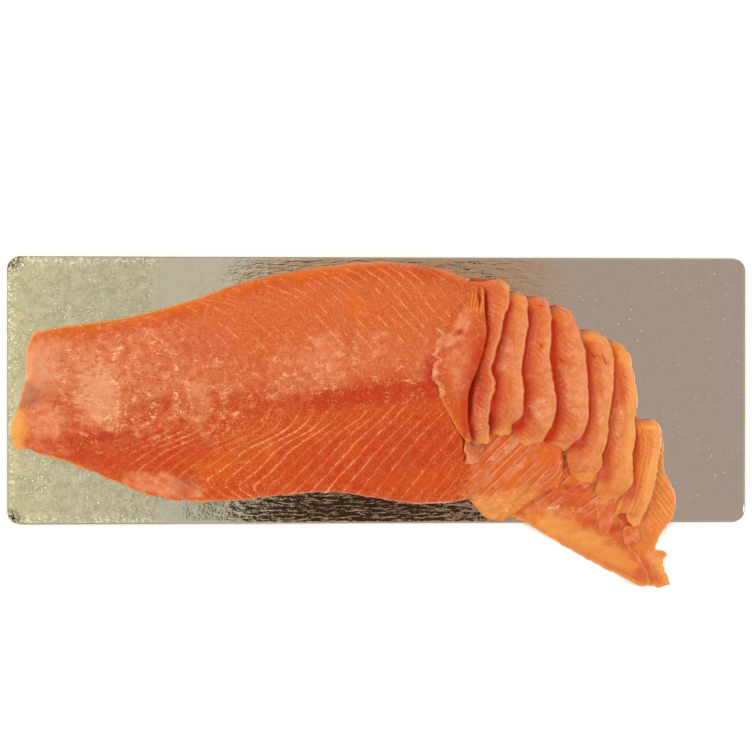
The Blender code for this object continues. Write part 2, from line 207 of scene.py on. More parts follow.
def piece(name, points, faces, surface, masks=None):
    """Smooth-shaded object of the scene from millimetre points, turned to face outward."""
    points = np.asarray(points, float)
    corners = [face[:3] for face in faces]
    a, b, c = points[np.array(corners).T]
    if np.einsum('ij,ij->i', a, np.cross(b, c)).sum() < 0:
        faces = [face[::-1] for face in faces]
    mesh = bpy.data.meshes.new(name)
    mesh.from_pydata((points * MM).tolist(), [], faces)
    for mask, values in (masks or {}).items():
        made = mesh.attributes.new(mask, 'FLOAT', 'POINT')
        made.data.foreach_set('value', np.asarray(values, np.float32).ravel())
    mesh.materials.append(surface)
    mesh.shade_smooth()
    mesh.set_sharp_from_angle(angle=math.radians(60))
    made = bpy.data.objects.new(name, mesh)
    bpy.context.scene.collection.objects.link(made)
    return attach(made, 'root')


def overlap(*parts):
    """Share of a surface where all the parts meet, which is their product.

    A part is a number, a node, a socket, or a pattern with the two values of it that become
    0 and 1, or that become the two values after them.
    """
    whole = None
    for part in parts:
        if isinstance(part, tuple):
            part = add(tree, 'MapRange', part)
        whole = part if whole is None else add(tree, 'Math', (whole, part), operation='MULTIPLY')
    return whole


# Metallised film on card: bright aluminium with a warm cast, a soft mirror that the fine
# crinkles break into specks and streaks. Its left end has a paler, yellower mottle, yellowest
# at the far end, painted into its colour as a reflection of the warm light there, with matt
# pale specks. That end is rubbed dull along the edges and worn through at the snubbed corners,
# and the die-cut edges show the grey card. Its crinkles are 1.6 mm apart.
foil = bpy.data.materials.new('metallised_film')
foil.use_nodes = True
tree = foil.node_tree
place = add(tree, 'TexCoord').outputs['Object']
at = add(tree, 'SeparateXYZ', [place]).outputs
# Along the board: all but its left end, how strong the relief is, and the left end, where the reflection is
# painted as a pale mottle.
middle, relief, leftness = [
    add(tree, 'MapRange', (at['X'], *ends), interpolation_type='SMOOTHSTEP')
    for ends in ((-0.118, -0.095), (0.15, 0.08, 0.08, 1.0), (-0.144, -0.156, 0.02, 1.0))]
crinkle, speck, patches, cloud, stray = [
    add(tree, 'TexNoise', {'Vector': place, 'Scale': scale, 'Detail': detail, 'Roughness': rough})
    for scale, detail, rough in ((620.0, 2.0, 0.5), (800.0, 1.0, 0.5), (42.0, 3.0, 0.6), (200.0, 6.0, 0.8),
                                 (900.0, 0.0, 0.5))]
wide = add(tree, 'Mapping', {'Vector': place, 'Scale': (0.22, 1.0, 1.0), 'Rotation': (0.0, 0.0, 0.05)})
ripple = add(tree, 'TexNoise', {'Vector': wide, 'Scale': 400.0, 'Detail': 2.0, 'Roughness': 0.55,
                                'Distortion': 0.4})
upright = add(tree, 'Mapping', {'Vector': place, 'Scale': (1.0, 0.05, 1.0), 'Rotation': (0.0, 0.0, 0.12)})
scratch = add(tree, 'TexNoise', {'Vector': upright, 'Scale': 500.0, 'Detail': 1.0, 'Roughness': 0.4})
flaking = add(tree, 'TexNoise', {'Vector': place, 'Scale': 330.0, 'Detail': 3.0, 'Distortion': 1.5})

clumps = add(tree, 'MapRange', (patches, 0.46, 0.6, 0.1))
cloud = add(tree, 'MapRange', (cloud, 0.36, 0.64))
speck = overlap((speck, 0.65, 0.7), clumps, leftness)
scratch = overlap((scratch, 0.745, 0.78), clumps)
scratch = add(tree, 'Math', (scratch, middle), operation='SUBTRACT', use_clamp=True)
marks = add(tree, 'Math', (scratch, overlap((stray, 0.82, 0.85))), operation='MAXIMUM')
inset = []
for way, half in (('X', BOARD_LENGTH / 2 * MM), ('Y', BOARD_WIDTH / 2 * MM)):
    from_middle = add(tree, 'Math', [at[way]], operation='ABSOLUTE')
    inset.append(add(tree, 'Math', (half, from_middle), operation='SUBTRACT'))
from_edge = add(tree, 'Math', inset, operation='MINIMUM')
from_corner = add(tree, 'VectorMath', [add(tree, 'CombineXYZ', inset)], operation='LENGTH')
bare = add(tree, 'MapRange', (from_edge, 0.0011, 0.0003))
flaking = overlap((flaking, 0.47, 0.53), (from_corner, 0.013, 0.006), leftness)
rubbed = overlap((from_edge, 0.0085, 0.003), leftness, (crinkle, 0.5, 0.62, 0.0, 0.5))
# Painted reflection: the far left end is tinted yellow, as the warm light it mirrors there.
far_end = overlap((at['X'], -0.2, -0.25, 0.0, 0.6), cloud)

# Painted reflection: on the left end the film's colour is a paler, yellower mottle, as the warm light it
# mirrors there.
plain, mottled = [add(tree, 'Mix', {0: cloud, 6: tint(dark), 7: tint(pale)}, data_type='RGBA')
                  for dark, pale in (('#EAE7E0', '#EFEDE6'), ('#CFCFC2', '#FFFBE8'))]
base = add(tree, 'Mix', {0: leftness, 6: plain, 7: mottled}, data_type='RGBA')
for share, code in ((far_end, '#FFF2C4'), (speck, '#FFF6D8'), (marks, '#EFE3D0'), (bare, '#7C7166'),
                    (flaking, '#4A4038')):
    base = add(tree, 'Mix', {0: share, 6: base, 7: tint(code)}, data_type='RGBA')
dull = speck
for share in (marks, rubbed, bare):
    dull = add(tree, 'Math', (dull, share), operation='MAXIMUM')
dints = overlap(crinkle, (leftness, 0.0, 1.0, 0.45, 0.9))
streaks = overlap(ripple, (middle, 0.0, 1.0, 0.1, 2.6))
height = overlap(add(tree, 'Math', (dints, streaks), operation='ADD'), relief)
feed(tree.nodes['Principled BSDF'], {
    'Base Color': base, 'Roughness': 0.05, 'Metallic': add(tree, 'Math', (1.0, dull), operation='SUBTRACT'),
    'Normal': add(tree, 'Bump', {'Height': height, 'Strength': 1.0, 'Distance': 0.0001})})

BOARD_STEP = 1.3
columns, rows = int(BOARD_WIDTH / BOARD_STEP), int(BOARD_LENGTH / BOARD_STEP)
grid_x, grid_y = np.meshgrid(np.linspace(-1, 1, rows), np.linspace(-1, 1, columns), indexing='ij')
# Squares the grid onto the snubbed outline: near a corner both coordinates pull in.
half_x, half_y = BOARD_LENGTH / 2, BOARD_WIDTH / 2
board_x, board_y = grid_x * half_x, grid_y * half_y
corner_x = np.clip((np.abs(board_x) - (half_x - BOARD_CORNER)) / BOARD_CORNER, 0, 1)
corner_y = np.clip((np.abs(board_y) - (half_y - BOARD_CORNER)) / BOARD_CORNER, 0, 1)
far = np.maximum(corner_x, corner_y)
pull = np.where(far > 0, far / np.maximum(np.hypot(corner_x, corner_y), 1e-9), 1.0)
board_x = np.where(far > 0, np.sign(board_x) * (np.minimum(np.abs(board_x), half_x - BOARD_CORNER)
                                                + corner_x * pull * BOARD_CORNER), board_x)
board_y = np.where(far > 0, np.sign(board_y) * (np.minimum(np.abs(board_y), half_y - BOARD_CORNER)
                                                + corner_y * pull * BOARD_CORNER), board_y)
crumple = (0.02 * grain(board_x, board_y, 9.0, 11) + 0.012 * grain(board_x, board_y, 3.6, 12)) * (
    0.15 + 0.85 * ramp(-board_x, -110, -60))
near_corner = np.hypot(np.abs(board_x) - half_x, np.abs(board_y) - half_y)
crushed = 1 - ramp(near_corner, 4.0, 22.0)
crumple += crushed * (0.14 * grain(board_x, board_y, 4.0, 13) - 0.1)
creased = ramp(-board_x, 170, 215) * (1 - ramp(half_y - board_y, 2.0, 7.0)) + crushed * (board_x < 0)
crumple += np.clip(creased, 0, 1) * (0.3 * np.abs(grain(board_x * 0.5, board_y, 2.2, 14)) - 0.15)
edge_in = np.minimum(half_x - np.abs(board_x), half_y - np.abs(board_y))
crumple -= 0.1 * (1 - ramp(edge_in, 0.0, 1.2))
points, faces, border = slab(np.dstack([board_x, board_y, BOARD_THICK + crumple]), 0.0)
board = piece('foil_board', points, faces, foil)
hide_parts('board')


# Uncut side ------------------------------------------------------------------------------
# The left half of the side, cold smoked and trimmed, lying flat on its skin side. Its upper
# face is a wet cut surface: pale fat lines run through orange flesh from the midline.
SIDE_THICK = 21.0
# Clearance over the board, height of the side's rim, and the lowest that a slice end hangs.
GAP, RIM, LOW = 0.35, 0.8, 0.4
FLOOR = BOARD_THICK + GAP


def smooth(points, at):
    """Value at each place of `at` on a smooth line through (place, value) points."""
    place, value = np.array(sorted(points), float).T
    step = np.diff(value) / np.diff(place)
    slope = np.concatenate([[step[0]], (step[1:] + step[:-1]) / 2, [step[-1]]])
    flat = np.concatenate([[False], step[1:] * step[:-1] <= 0, [False]])
    slope[flat] = 0.0
    at = np.clip(at, place[0], place[-1])
    i = np.clip(np.searchsorted(place, at, side='right') - 1, 0, len(step) - 1)
    width = place[i + 1] - place[i]
    t = (at - place[i]) / width
    return (value[i] * (1 + 2 * t) * (1 - t) ** 2 + value[i + 1] * t * t * (3 - 2 * t)
            + width * (slope[i] * t * (1 - t) ** 2 - slope[i + 1] * t * t * (1 - t)))


def trace(points, fraction):
    """(x, y) places at fractions of the way along a smooth line through (x, y) points."""
    xy = np.array(points, float)
    chord = np.concatenate([[0.0], np.cumsum(np.hypot(*np.diff(xy, axis=0).T))])
    at = np.asarray(fraction) * chord[-1]
    columns = [smooth(list(zip(chord, xy[:, axis])), at) for axis in (0, 1)]
    return np.stack(columns, axis=-1)


def spread(count, crowd=0.6):
    """`count` fractions from 0 to 1 that crowd together towards both ends."""
    even = np.linspace(0.0, 1.0, count)
    return (1 - crowd) * even + crowd * (1 - np.cos(math.pi * even)) / 2


def patch(north, south, west, east, along, across):
    """Grid of (x, y) places inside four edge lines.

    North and south run from west to east; west and east run from north to south.
    """
    u = np.asarray(along)[:, None, None]
    v = np.asarray(across)[None, :, None]
    top, bottom = trace(north, along)[:, None], trace(south, along)[:, None]
    left, right = trace(west, across)[None], trace(east, across)[None]
    corners = ((1 - u) * ((1 - v) * top[0] + v * bottom[0])
               + u * ((1 - v) * top[-1] + v * bottom[-1]))
    return (1 - v) * top + v * bottom + (1 - u) * left + u * right - corners


def rounded(distance, radius):
    """Quarter-round rise from 0 at an edge to 1 at `radius` inside it."""
    return np.sqrt(1 - (1 - np.clip(distance / radius, 0.0, 1.0)) ** 2)


# Outline from above, as (x, y) along the back and the belly and as (y, x) across the tail end
# and the cut face, and the height as a share of the thickest place: from back to belly by the
# fraction of the way, and along the side by x.
BACK_EDGE = [(-248, 27), (-232, 38.5), (-213, 43), (-184, 47), (-154, 53), (-124, 62), (-94, 72.5),
             (-64, 80), (-33, 84), (-7, 87), (27, 85), (47, 81), (63, 75)]
BELLY_EDGE = [(-248, -30), (-238, -39), (-213, -47), (-174, -63), (-154, -71), (-134, -75), (-104, -75),
              (-64, -71), (-33, -69), (-3, -73), (27, -77), (47, -76), (66, -73)]
TAIL_END = [(38.5, -232), (30, -236), (7, -238), (-5, -241), (-16, -244), (-26, -247), (-33, -247),
            (-40, -242)]
CUT_FACE = [(75, 63), (55, 60), (35, 57), (15, 53), (0, 49), (-18, 51), (-34, 61), (-46, 71),
            (-60, 74), (-73, 66)]
ACROSS = [(0.0, 0.42), (0.08, 0.74), (0.2, 0.95), (0.34, 1.0), (0.5, 0.93), (0.7, 0.72), (0.88, 0.5),
          (1.0, 0.4)]
ALONG = [(-248, 0.6), (-200, 0.72), (-120, 0.87), (-40, 0.96), (20, 1.0), (80, 1.0)]


def crown(x, y):
    """Height of the side's upper surface before its edges are rounded off."""
    back, belly = smooth(BACK_EDGE, x), smooth(BELLY_EDGE, x)
    across = (back - y) / (back - belly)
    return FLOOR + SIDE_THICK * smooth(ALONG, x) * smooth(ACROSS, across)


def side_top(x, y, sliced=True):
    """Height of the uncut side, with rounded edges and, unless not yet sliced, its cut face."""
    from_back = smooth(BACK_EDGE, x) - y
    from_belly = y - smooth(BELLY_EDGE, x)
    from_tail = x - smooth(TAIL_END, y)
    from_cut = smooth(CUT_FACE, y) - x
    tail = np.sin(np.clip(from_tail / 20.0, 0.0, 1.0) * math.pi / 2)
    slope = 5.0 + 10.0 * ramp(-y, 28, 45)
    cut = np.sin(np.clip(from_cut / slope, 0.0, 1.0) * math.pi / 2) if sliced else 1.0
    edge = rounded(np.minimum(from_back, from_belly), 5.0)
    return FLOOR + RIM + (crown(x, y) - FLOOR - RIM) * edge * tail * cut


def edge_line(points, start, end, along_x):
    """Points of an outline line between two places, as (x, y)."""
    place = np.linspace(start, end, 24)
    value = smooth(points, place)
    return list(zip(place, value)) if along_x else list(zip(value, place))


# The fat lines by number from the tail: places (x, y) that a few of them run through. The
# lines between keep the same course. Those of the belly half lean one way and turn back
# near the edge, and those of the back half lean the other way.
BELLY_LINES = {
    -9: [(-190, -16), (-196, -26), (-214, -32.6), (-231, -39.3), (-241, -46), (-250, -52.8), (-236, -66)],
    1: [(-95.2, -16), (-101, -26), (-114, -32.6), (-130.6, -39.3), (-141.1, -46), (-149.6, -52.8),
        (-152, -57), (-140, -66), (-126, -75)],
    4: [(-61, -11.4), (-71, -26), (-83, -32.7), (-98.6, -39.3), (-107.3, -46.1), (-117.1, -52.8),
        (-126.5, -59.5), (-116, -67), (-105, -76)],
    7: [(-30, -8.1), (-45.9, -26), (-58.2, -32.7), (-68.2, -39.4), (-74.9, -46.1), (-81.6, -52.9),
        (-89.3, -59.6), (-94, -63.5), (-84, -72)],
    10: [(-2.2, -6.7), (-15.1, -19.4), (-24.7, -26.1), (-38.7, -39.5), (-51, -52.9), (-65.4, -66.4),
         (-72.1, -71.8)],
    13: [(18.2, -8.7), (8.4, -19.4), (-5.1, -32.8), (-16.7, -46.2), (-29, -59.7), (-39.4, -73.2)],
    16: [(48, -8.7), (37.2, -19.4), (24.4, -32.8), (13.3, -46.2), (3.3, -59.7), (-6.6, -73.3)],
    19: [(73.9, -8.7), (64.8, -19.4), (57.1, -32.8), (44.9, -46.3), (35.1, -59.8), (23.5, -73.3)],
    23: [(110, -8.7), (100, -19.4), (90, -32.8), (78, -46.3), (67, -59.8), (56, -73.3)]}
BACK_LINES = {
    -14: [(-232, 40), (-222, 38), (-214, 33), (-206, 27), (-200, 20), (-196, 12)],
    -5: [(-176, 54), (-158, 50), (-144, 45), (-134, 39), (-124, 31), (-118, 20), (-114, 8)],
    0: [(-140, 64), (-122.6, 61.6), (-106.1, 58.7), (-95.3, 55.9), (-81.8, 45.2), (-66, 29.4), (-58, 12)],
    4: [(-90, 70), (-78.3, 66.6), (-64.9, 61.8), (-51.6, 50.5), (-41.1, 38.6), (-32.6, 29.5), (-20, 12)],
    7: [(-64, 80), (-49.9, 72), (-36.5, 61.1), (-26, 50.5), (-15.5, 38.7), (-6.3, 29.5), (8, 12)],
    11: [(-40, 84), (-18.8, 73.3), (-6.9, 62.5), (4.2, 50.5), (16.7, 38.7), (25.9, 29.5), (40, 12)],
    14: [(-8, 86), (7.1, 76.1), (20.1, 61.2), (28.6, 50.6), (39.8, 38.7), (49, 29.5), (64, 12)],
    17: [(14, 88), (31.8, 76.2), (44, 61.3), (52.8, 50.7), (64.2, 38.8), (73.5, 29.5), (88, 12)]}
MIDLINE = [(-248, -8), (-160, -7), (-104.3, -4.7), (-66.1, -1.5), (-33.2, 0.5), (12.9, 6.5), (39.2, 8.5),
           (80, 10)]
LINE_SPACING = 8.5


def line_number(guides, x, y):
    """Running number of the fat lines at each place: whole on a line, halves between."""
    numbers = sorted(guides)
    course = [smooth([(py, px) for px, py in guides[number]], y) for number in numbers]
    found = numbers[0] + 0 * x
    for low, high, left, right in zip(numbers, numbers[1:], course, course[1:]):
        share = (x - left) / (right - left)
        found = np.where(share >= 0, low + share * (high - low), found)
    return found


def fat_lines(guides, x, y):
    """Line number and the distance in millimetres from one line to the next."""
    number = line_number(guides, x, y)
    rise_x = line_number(guides, x + 0.5, y) - line_number(guides, x - 0.5, y)
    rise_y = line_number(guides, x, y + 0.5) - line_number(guides, x, y - 0.5)
    return number, 1 / np.maximum(np.hypot(rise_x, rise_y), 0.03)


def blots(x, y, spots):
    """Soft oval patches, each (x, y, half length, half width, lean in degrees, amount)."""
    total = 0 * x
    for at_x, at_y, long, wide, lean, amount in spots:
        c, s = math.cos(math.radians(lean)), math.sin(math.radians(lean))
        u = ((x - at_x) * c + (y - at_y) * s) / long
        v = ((y - at_y) * c - (x - at_x) * s) / wide
        u, v = u + 0.3 * grain(x, y, 5.0, 33), v + 0.3 * grain(x, y, 5.0, 34)
        total = np.maximum(total, amount * np.exp(-(u * u + v * v) ** 2))
    return total


# Cold-smoked salmon flesh, knife cut and oily: light passes a few millimetres into it, so
# shadows glow orange. The small sharp glints of its wet face are painted into its colour, with
# painted shade in small pits beside them. Masks on each mesh say where it is deep red, and
# where shade is painted deep red; where it is wet and pale, and where a pale sheen is painted;
# where it is amber with fat, greyed, rimmed with yellow, flecked with painted glints over a
# rougher relief, thin, parted by a seam, or a sliver too thin to glow. `line` counts the fat
# lines, `pitch` is the millimetres between them and `show` how strongly they show, and
# `across` and `down` are millimetres across and along the fibres. Its finest grain is 1 mm.
MASKS = ('line', 'pitch', 'show', 'across', 'down', 'deep', 'wet', 'amber', 'grey', 'rim', 'fleck', 'thin',
         'seam', 'sliver')
flesh = bpy.data.materials.new('smoked_flesh')
flesh.use_nodes = True
tree = flesh.node_tree
place = add(tree, 'TexCoord').outputs['Object']
mask = {name: add(tree, 'Attribute', attribute_name=name).outputs['Fac'] for name in MASKS}
broad, mottle, fine, sand, clusters = [
    add(tree, 'TexNoise', {'Vector': place, 'Scale': scale, 'Detail': detail, 'Roughness': rough})
    for scale, detail, rough in ((50.0, 3.0, 0.55), (240.0, 4.0, 0.6), (800.0, 3.0, 0.65), (1050.0, 1.0, 0.5),
                                 (140.0, 1.0, 0.5))]
cracks = add(tree, 'TexNoise', {'Vector': place, 'Scale': 170.0, 'Detail': 4.0, 'Roughness': 0.65,
                                'Distortion': 0.5})
drawn_out = add(tree, 'Mapping', {'Vector': place, 'Scale': (0.5, 1.0, 1.0), 'Rotation': (0.0, 0.0, 0.6)})
curls = add(tree, 'TexNoise', {'Vector': drawn_out, 'Scale': 330.0, 'Detail': 1.0, 'Roughness': 0.5,
                               'Distortion': 1.0})
fibre_way = add(tree, 'CombineXYZ', (mask['across'], overlap(mask['down'], 0.14)))
fibre = add(tree, 'TexNoise', {'Vector': fibre_way, 'Scale': 0.75, 'Detail': 3.0, 'Roughness': 0.6})


def winding(value, width):
    """Thin winding lines, 1 where a noise passes its middle and 0 by `width` from it."""
    off = add(tree, 'Math', (value, 0.5), operation='SUBTRACT')
    return overlap((add(tree, 'Math', [off], operation='ABSOLUTE'), width, 0.0))


# Distance in millimetres from the nearest fat line, with some sway and a rough edge.
sway, unsteady, uneven = [add(tree, 'Math', (noise, 0.5), operation='SUBTRACT')
                          for noise in (mottle, fine, cracks)]
number = add(tree, 'Math', (sway, 0.5, mask['line']), operation='MULTIPLY_ADD')
number = add(tree, 'Math', (number, 0.5), operation='PINGPONG')
away = add(tree, 'Math', (number, mask['pitch'], overlap(unsteady, 0.8)), operation='MULTIPLY_ADD')
fat = overlap((away, 0.62, 0.14), mask['show'], (mottle, 0.36, 0.55, 0.1, 1.0), (fine, 0.38, 0.6, 0.25, 1.0))

# Wetness and painted pale sheen spread unevenly along the cracks, and are milky where they are deepest.
soaked_and_sheen, milky_and_sheen = [
    overlap((add(tree, 'Math', (uneven, amount, mask['wet']), operation='MULTIPLY_ADD'), low, high))
    for amount, low, high in ((1.3, 0.12, 0.85), (1.1, 0.98, 1.12))]
crack = overlap(winding(cracks, 0.02), (broad, 0.5, 0.6), (mask['thin'], 0.75, 0.55))
gathered = overlap((clusters, 0.4, 0.56, 0.12, 1.0))
# Painted glints: short winding strokes and dots, gathered in clusters where the mask lets them show, with the
# pale midline seam.
glint_strokes = overlap(winding(curls, 0.06), gathered, (mottle, 0.46, 0.54, 0.1, 1.0))
glint_dots = overlap((sand, 0.6, 0.68, 0.0, 0.75), gathered)
glint = overlap(add(tree, 'Math', (glint_strokes, glint_dots), operation='MAXIMUM'), mask['fleck'],
                (cracks, 0.44, 0.56, 0.1, 1.0))
seam = overlap(mask['seam'], (fine, 0.45, 0.6), (cracks, 0.47, 0.55))
glint = add(tree, 'Math', (glint, seam), operation='MAXIMUM')
# Painted shade: dark pits beside the painted glints, which the bump also sinks.
shaded_pits = overlap((curls, 0.47, 0.4), mask['fleck'], (fine, 0.6, 0.45))
# Where it is neither deep red nor painted in shade; the yellow rim stays there.
outside_deep_and_shade = add(tree, 'Math', (1.0, mask['deep']), operation='SUBTRACT')
patchy = overlap((mottle, 0.35, 0.65, 0.45, 1.0))

tone = tint('#BA4008')
for share, code in (
        (overlap((broad, 0.35, 0.65)), '#C54D0D'),
        (overlap((fibre, 0.5, 0.7, 0.0, 0.6)), '#D2692E'),
        (overlap((fibre, 0.46, 0.32, 0.0, 0.45)), '#A83807'),
        (mask['thin'], '#C96838'),
        (overlap((mottle, 0.45, 0.75, 0.0, 0.35)), '#CC622E'),
        (overlap((fine, 0.52, 0.66, 0.0, 0.45)), '#E08C58'),
        (overlap((fine, 0.46, 0.34, 0.0, 0.42)), '#9E2E05'),
        (overlap(mask['amber'], patchy), '#D6680A'),
        # Pale wet flesh, and a pale sheen painted on the crests, rolled edges, flake lips and lump of fat.
        (overlap(soaked_and_sheen, patchy), '#DC9068'),
        (overlap(milky_and_sheen, (fine, 0.35, 0.6, 0.12, 0.55)), '#D8A880'),
        # Deep red flesh, and shade painted deep red in creases, gaps, tears and holes and under the folds and
        # scraps.
        (mask['deep'], '#B22403'),
        (overlap(mask['rim'], outside_deep_and_shade), '#E3A352'),
        (overlap(mask['grey'], patchy), '#8C5C4C'),
        (overlap(crack, 0.6), '#A8330F'),
        (overlap((away, 2.0, 0.3), mask['show'], 0.3), '#CB6A38'),
        (fat, '#F4AC76'),
        # Painted shade in the pits.
        (overlap(shaded_pits, 0.4), '#B03C10'),
        # Painted glints, which the pale seam shares.
        (overlap(glint, 0.92), '#FFCE96')):
    tone = add(tree, 'Mix', {0: share, 6: tone, 7: tint(code)}, data_type='RGBA')
crisp = mask['sliver']
for share in (fat, glint):
    crisp = add(tree, 'Math', (crisp, share), operation='MAXIMUM')
furrows = add(tree, 'Math', (fine, 1.5, overlap(curls, 3.0)), operation='MULTIPLY_ADD')
knobs = mottle
for pattern, amount in ((fine, 0.6), (fibre, 0.5), (glint, 0.5), (furrows, mask['fleck']), (crack, -0.6),
                        (shaded_pits, -0.6)):
    knobs = add(tree, 'Math', (pattern, amount, knobs), operation='MULTIPLY_ADD')
feed(tree.nodes['Principled BSDF'], {
    'Base Color': tone, 'Roughness': 0.15, 'IOR': 1.33, 'Specular IOR Level': 0.32,
    'Subsurface Weight': overlap((crisp, 0.0, 1.0, 0.65, 0.0)), 'Subsurface Scale': 0.003,
    'Subsurface Radius': (1.0, 0.35, 0.15),
    'Normal': add(tree, 'Bump', {'Height': knobs, 'Strength': 0.9, 'Distance': 0.0004})})

back_left, back_right = (-232.0, 38.5), (63.0, 75.0)
belly_left, belly_right = (-242.0, -40.0), (66.0, -73.0)
side_grid = patch(
    [back_left] + edge_line(BACK_EDGE, -231, 62, True) + [back_right],
    [belly_left] + edge_line(BELLY_EDGE, -238, 65, True) + [belly_right],
    [back_left] + edge_line(TAIL_END, 38, -39, False) + [belly_left],
    [back_right] + edge_line(CUT_FACE, 74, -72, False) + [belly_right],
    spread(440, 0.3), spread(200, 0.3))
x, y = side_grid[..., 0], side_grid[..., 1]
z = side_top(x, y)
from_back, from_belly = smooth(BACK_EDGE, x) - y, y - smooth(BELLY_EDGE, x)
loose = 1 - ramp(np.minimum(from_back, from_belly), 0.0, 5.0)
x = x + loose * (0.35 * grain(x, y, 3.0, 17) + 0.2 * grain(x, y, 1.4, 18))
frayed = 1 + 1.4 * ramp(-y, 20, 35) * ramp(-x, 95, 130)
y = y + loose * frayed * (0.5 * grain(x, y, 4.5, 19) + 0.35 * grain(x, y, 1.8, 20))
z[[0, -1]] = FLOOR + RIM
z[:, [0, -1]] = FLOOR + RIM
from_back, from_belly = smooth(BACK_EDGE, x) - y, y - smooth(BELLY_EDGE, x)
rim_in = np.minimum.reduce([from_back, from_belly, x - smooth(TAIL_END, y)])
inside = ramp(rim_in, 0.0, 3.0) * ramp(smooth(CUT_FACE, y) - x, 0.0, 3.0)
mid = smooth(MIDLINE, x)
below = y < mid
belly_number, belly_pitch = fat_lines(BELLY_LINES, x, y)
back_number, back_pitch = fat_lines(BACK_LINES, x, y)
number = np.where(below, belly_number, back_number)
each = np.round(number)
strength = 0.82 + 0.4 * grain(each * 7.3, 0 * each, 5.0, 27)
belly_show = ramp(mid - y, 4, 26) * ramp(x, -185, -140) * (0.85 + 0.4 * grain(x, y, 12, 26))
belly_show = belly_show * (1 - 0.45 * ramp(x, -20, 40))
back_show = 0.75 * ramp(y - mid, 8, 26) * ramp(x, -195, -140) * ramp(rim_in, 2, 7)
back_show = back_show * (0.1 + 0.9 * ramp(grain(x, y, 6.5, 25), -0.45, 0.15))
along = 0 * x
seam_y = mid + 1.8 * grain(x, along, 6.0, 28) + 0.8 * grain(x, along, 2.0, 29)
masks = {
    'line': number, 'pitch': np.where(below, belly_pitch, back_pitch),
    'show': strength * np.where(below, belly_show, back_show),
    'across': LINE_SPACING * number, 'down': y,
    'thin': (0.75 * ramp(y - mid, -3, 8) + 0.2 * ramp(-x, 150, 200)) * ramp(from_back, 4, 17),
    'sliver': 1 - ramp(rim_in, 0.5, 2.5),
    'seam': (np.exp(-((y - seam_y) / 0.7) ** 2) * ramp(x, -115, -80) * ramp(-x, -60, -50)
             * ramp(grain(x, along, 8.0, 30), -0.3, 0.3)),
    'deep': blots(x, y, [(-7, -3, 58, 7, 6, 0.7), (-184, -31, 24, 4.5, 5, 0.75), (34, 10, 7, 16, 0, 0.9),
                         (-200, -42, 30, 6, -14, 0.5), (10, -45, 75, 30, 8, 0.4), (44, 0, 6, 9, 0, 0.9),
                         (-150, -42, 40, 14, 0, 0.4), (-120, 33, 30, 14, -24, 0.3)]),
    'wet': (0.2 + 0.8 * ramp(from_back, 3, 15)) * blots(x, y, [
        (-152, 17, 66, 38, -6, 0.45), (-185, -2, 20, 27, 0, 1.25), (-38, 22, 18, 21, 0, 0.6),
        (-222, 20, 20, 22, 0, 1.0), (-118, -6, 10, 22, 0, 0.7), (29, 20, 6, 17, 0, 0.5),
        (-146, -63, 26, 8, -8, 0.9), (-222, -20, 18, 15, 0, 0.85), (-60, 10, 16, 26, 0, 0.4),
        (-10, 24, 30, 12, 20, 0.4), (-205, 12, 20, 14, 20, 0.7), (-170, -28, 26, 8, 10, 0.4),
        (-222, -38, 16, 5, -12, 0.5)]),
    'amber': np.maximum((1 - ramp(from_back, 3, 13)) * (1 - ramp(x, -30, 30)), blots(x, y, [
        (-20, -40, 9, 6, 40, 0.7), (26, -59, 22, 8, 10, 0.6), (-112, -51, 20, 8, 20, 0.6),
        (-16, 55, 6, 11, 40, 0.6), (-80, -44, 14, 7, 30, 0.4)])),
    'grey': blots(x, y, [(-234, -3, 9, 9, 0, 0.8), (-224, 0, 9, 6, -20, 0.45), (-222, 14, 22, 30, 0, 0.2),
                         (-130, -62, 8, 6, 0, 0.6)]),
    'rim': np.maximum((0.3 + 0.5 * ramp(-x, 60, 140)) * (1 - ramp(rim_in, 0.5, 2.8)), blots(x, y, [
        (-246, -26, 10, 20, -6, 0.9), (-236, 14, 5, 24, 6, 0.3), (52, 78, 14, 5, -20, 0.3)])),
    'fleck': (1 - blots(x, y, [(-187, -4, 12, 16, 0, 0.5)])) * np.clip(blots(x, y, [
        (-168, 6, 48, 40, 0, 1.0), (-115, -4, 44, 30, 0, 0.75), (-60, 6, 60, 24, 0, 0.5),
        (0, 18, 60, 26, 0, 0.45), (-190, -30, 40, 14, 0, 0.4)]) + 0.12, 0, 1)}
z = z + inside * (0.35 * grain(x, y, 24, 21) + 0.16 * grain(x, y, 8, 22) + 0.07 * grain(x, y, 2.4, 23))
points, faces, border = slab(np.dstack([x, y, z]), FLOOR)
masks = {name: np.concatenate([values.ravel(), values.ravel()[border]]) for name, values in masks.items()}
side = piece('salmon_side_flesh', points, faces, flesh, masks)
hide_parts('salmon_side')


# Belly ends of the slices ------------------------------------------------------------------
# Flat ends of the slices, 2 to 3 mm thick, which lie on the board below the folds and droop
# over its edge. Bands of belly fat cross them, and their rims thin out to almost nothing.
BASE_THICK, BELLY_THICK, BELLY_THIN = 2.0, 3.0, 1.6
THIN_EDGE, SHEET_GAP = 0.3, 0.1
DROOP_START, DROOP_END = -93.0, -108.0


def over_edge(y):
    """Underside of a sheet that lies on the board and droops past its lower edge."""
    return LOW + (FLOOR + SHEET_GAP - LOW) * ramp(y, DROOP_END, DROOP_START)


def rim_distance(grid):
    """Distance of each grid place from the nearest edge of its patch."""
    edge = np.concatenate([grid[0], grid[-1], grid[:, 0], grid[:, -1]])
    near = [np.hypot(row[:, None, 0] - edge[None, :, 0], row[:, None, 1] - edge[None, :, 1]).min(axis=1)
            for row in grid]
    return np.array(near)


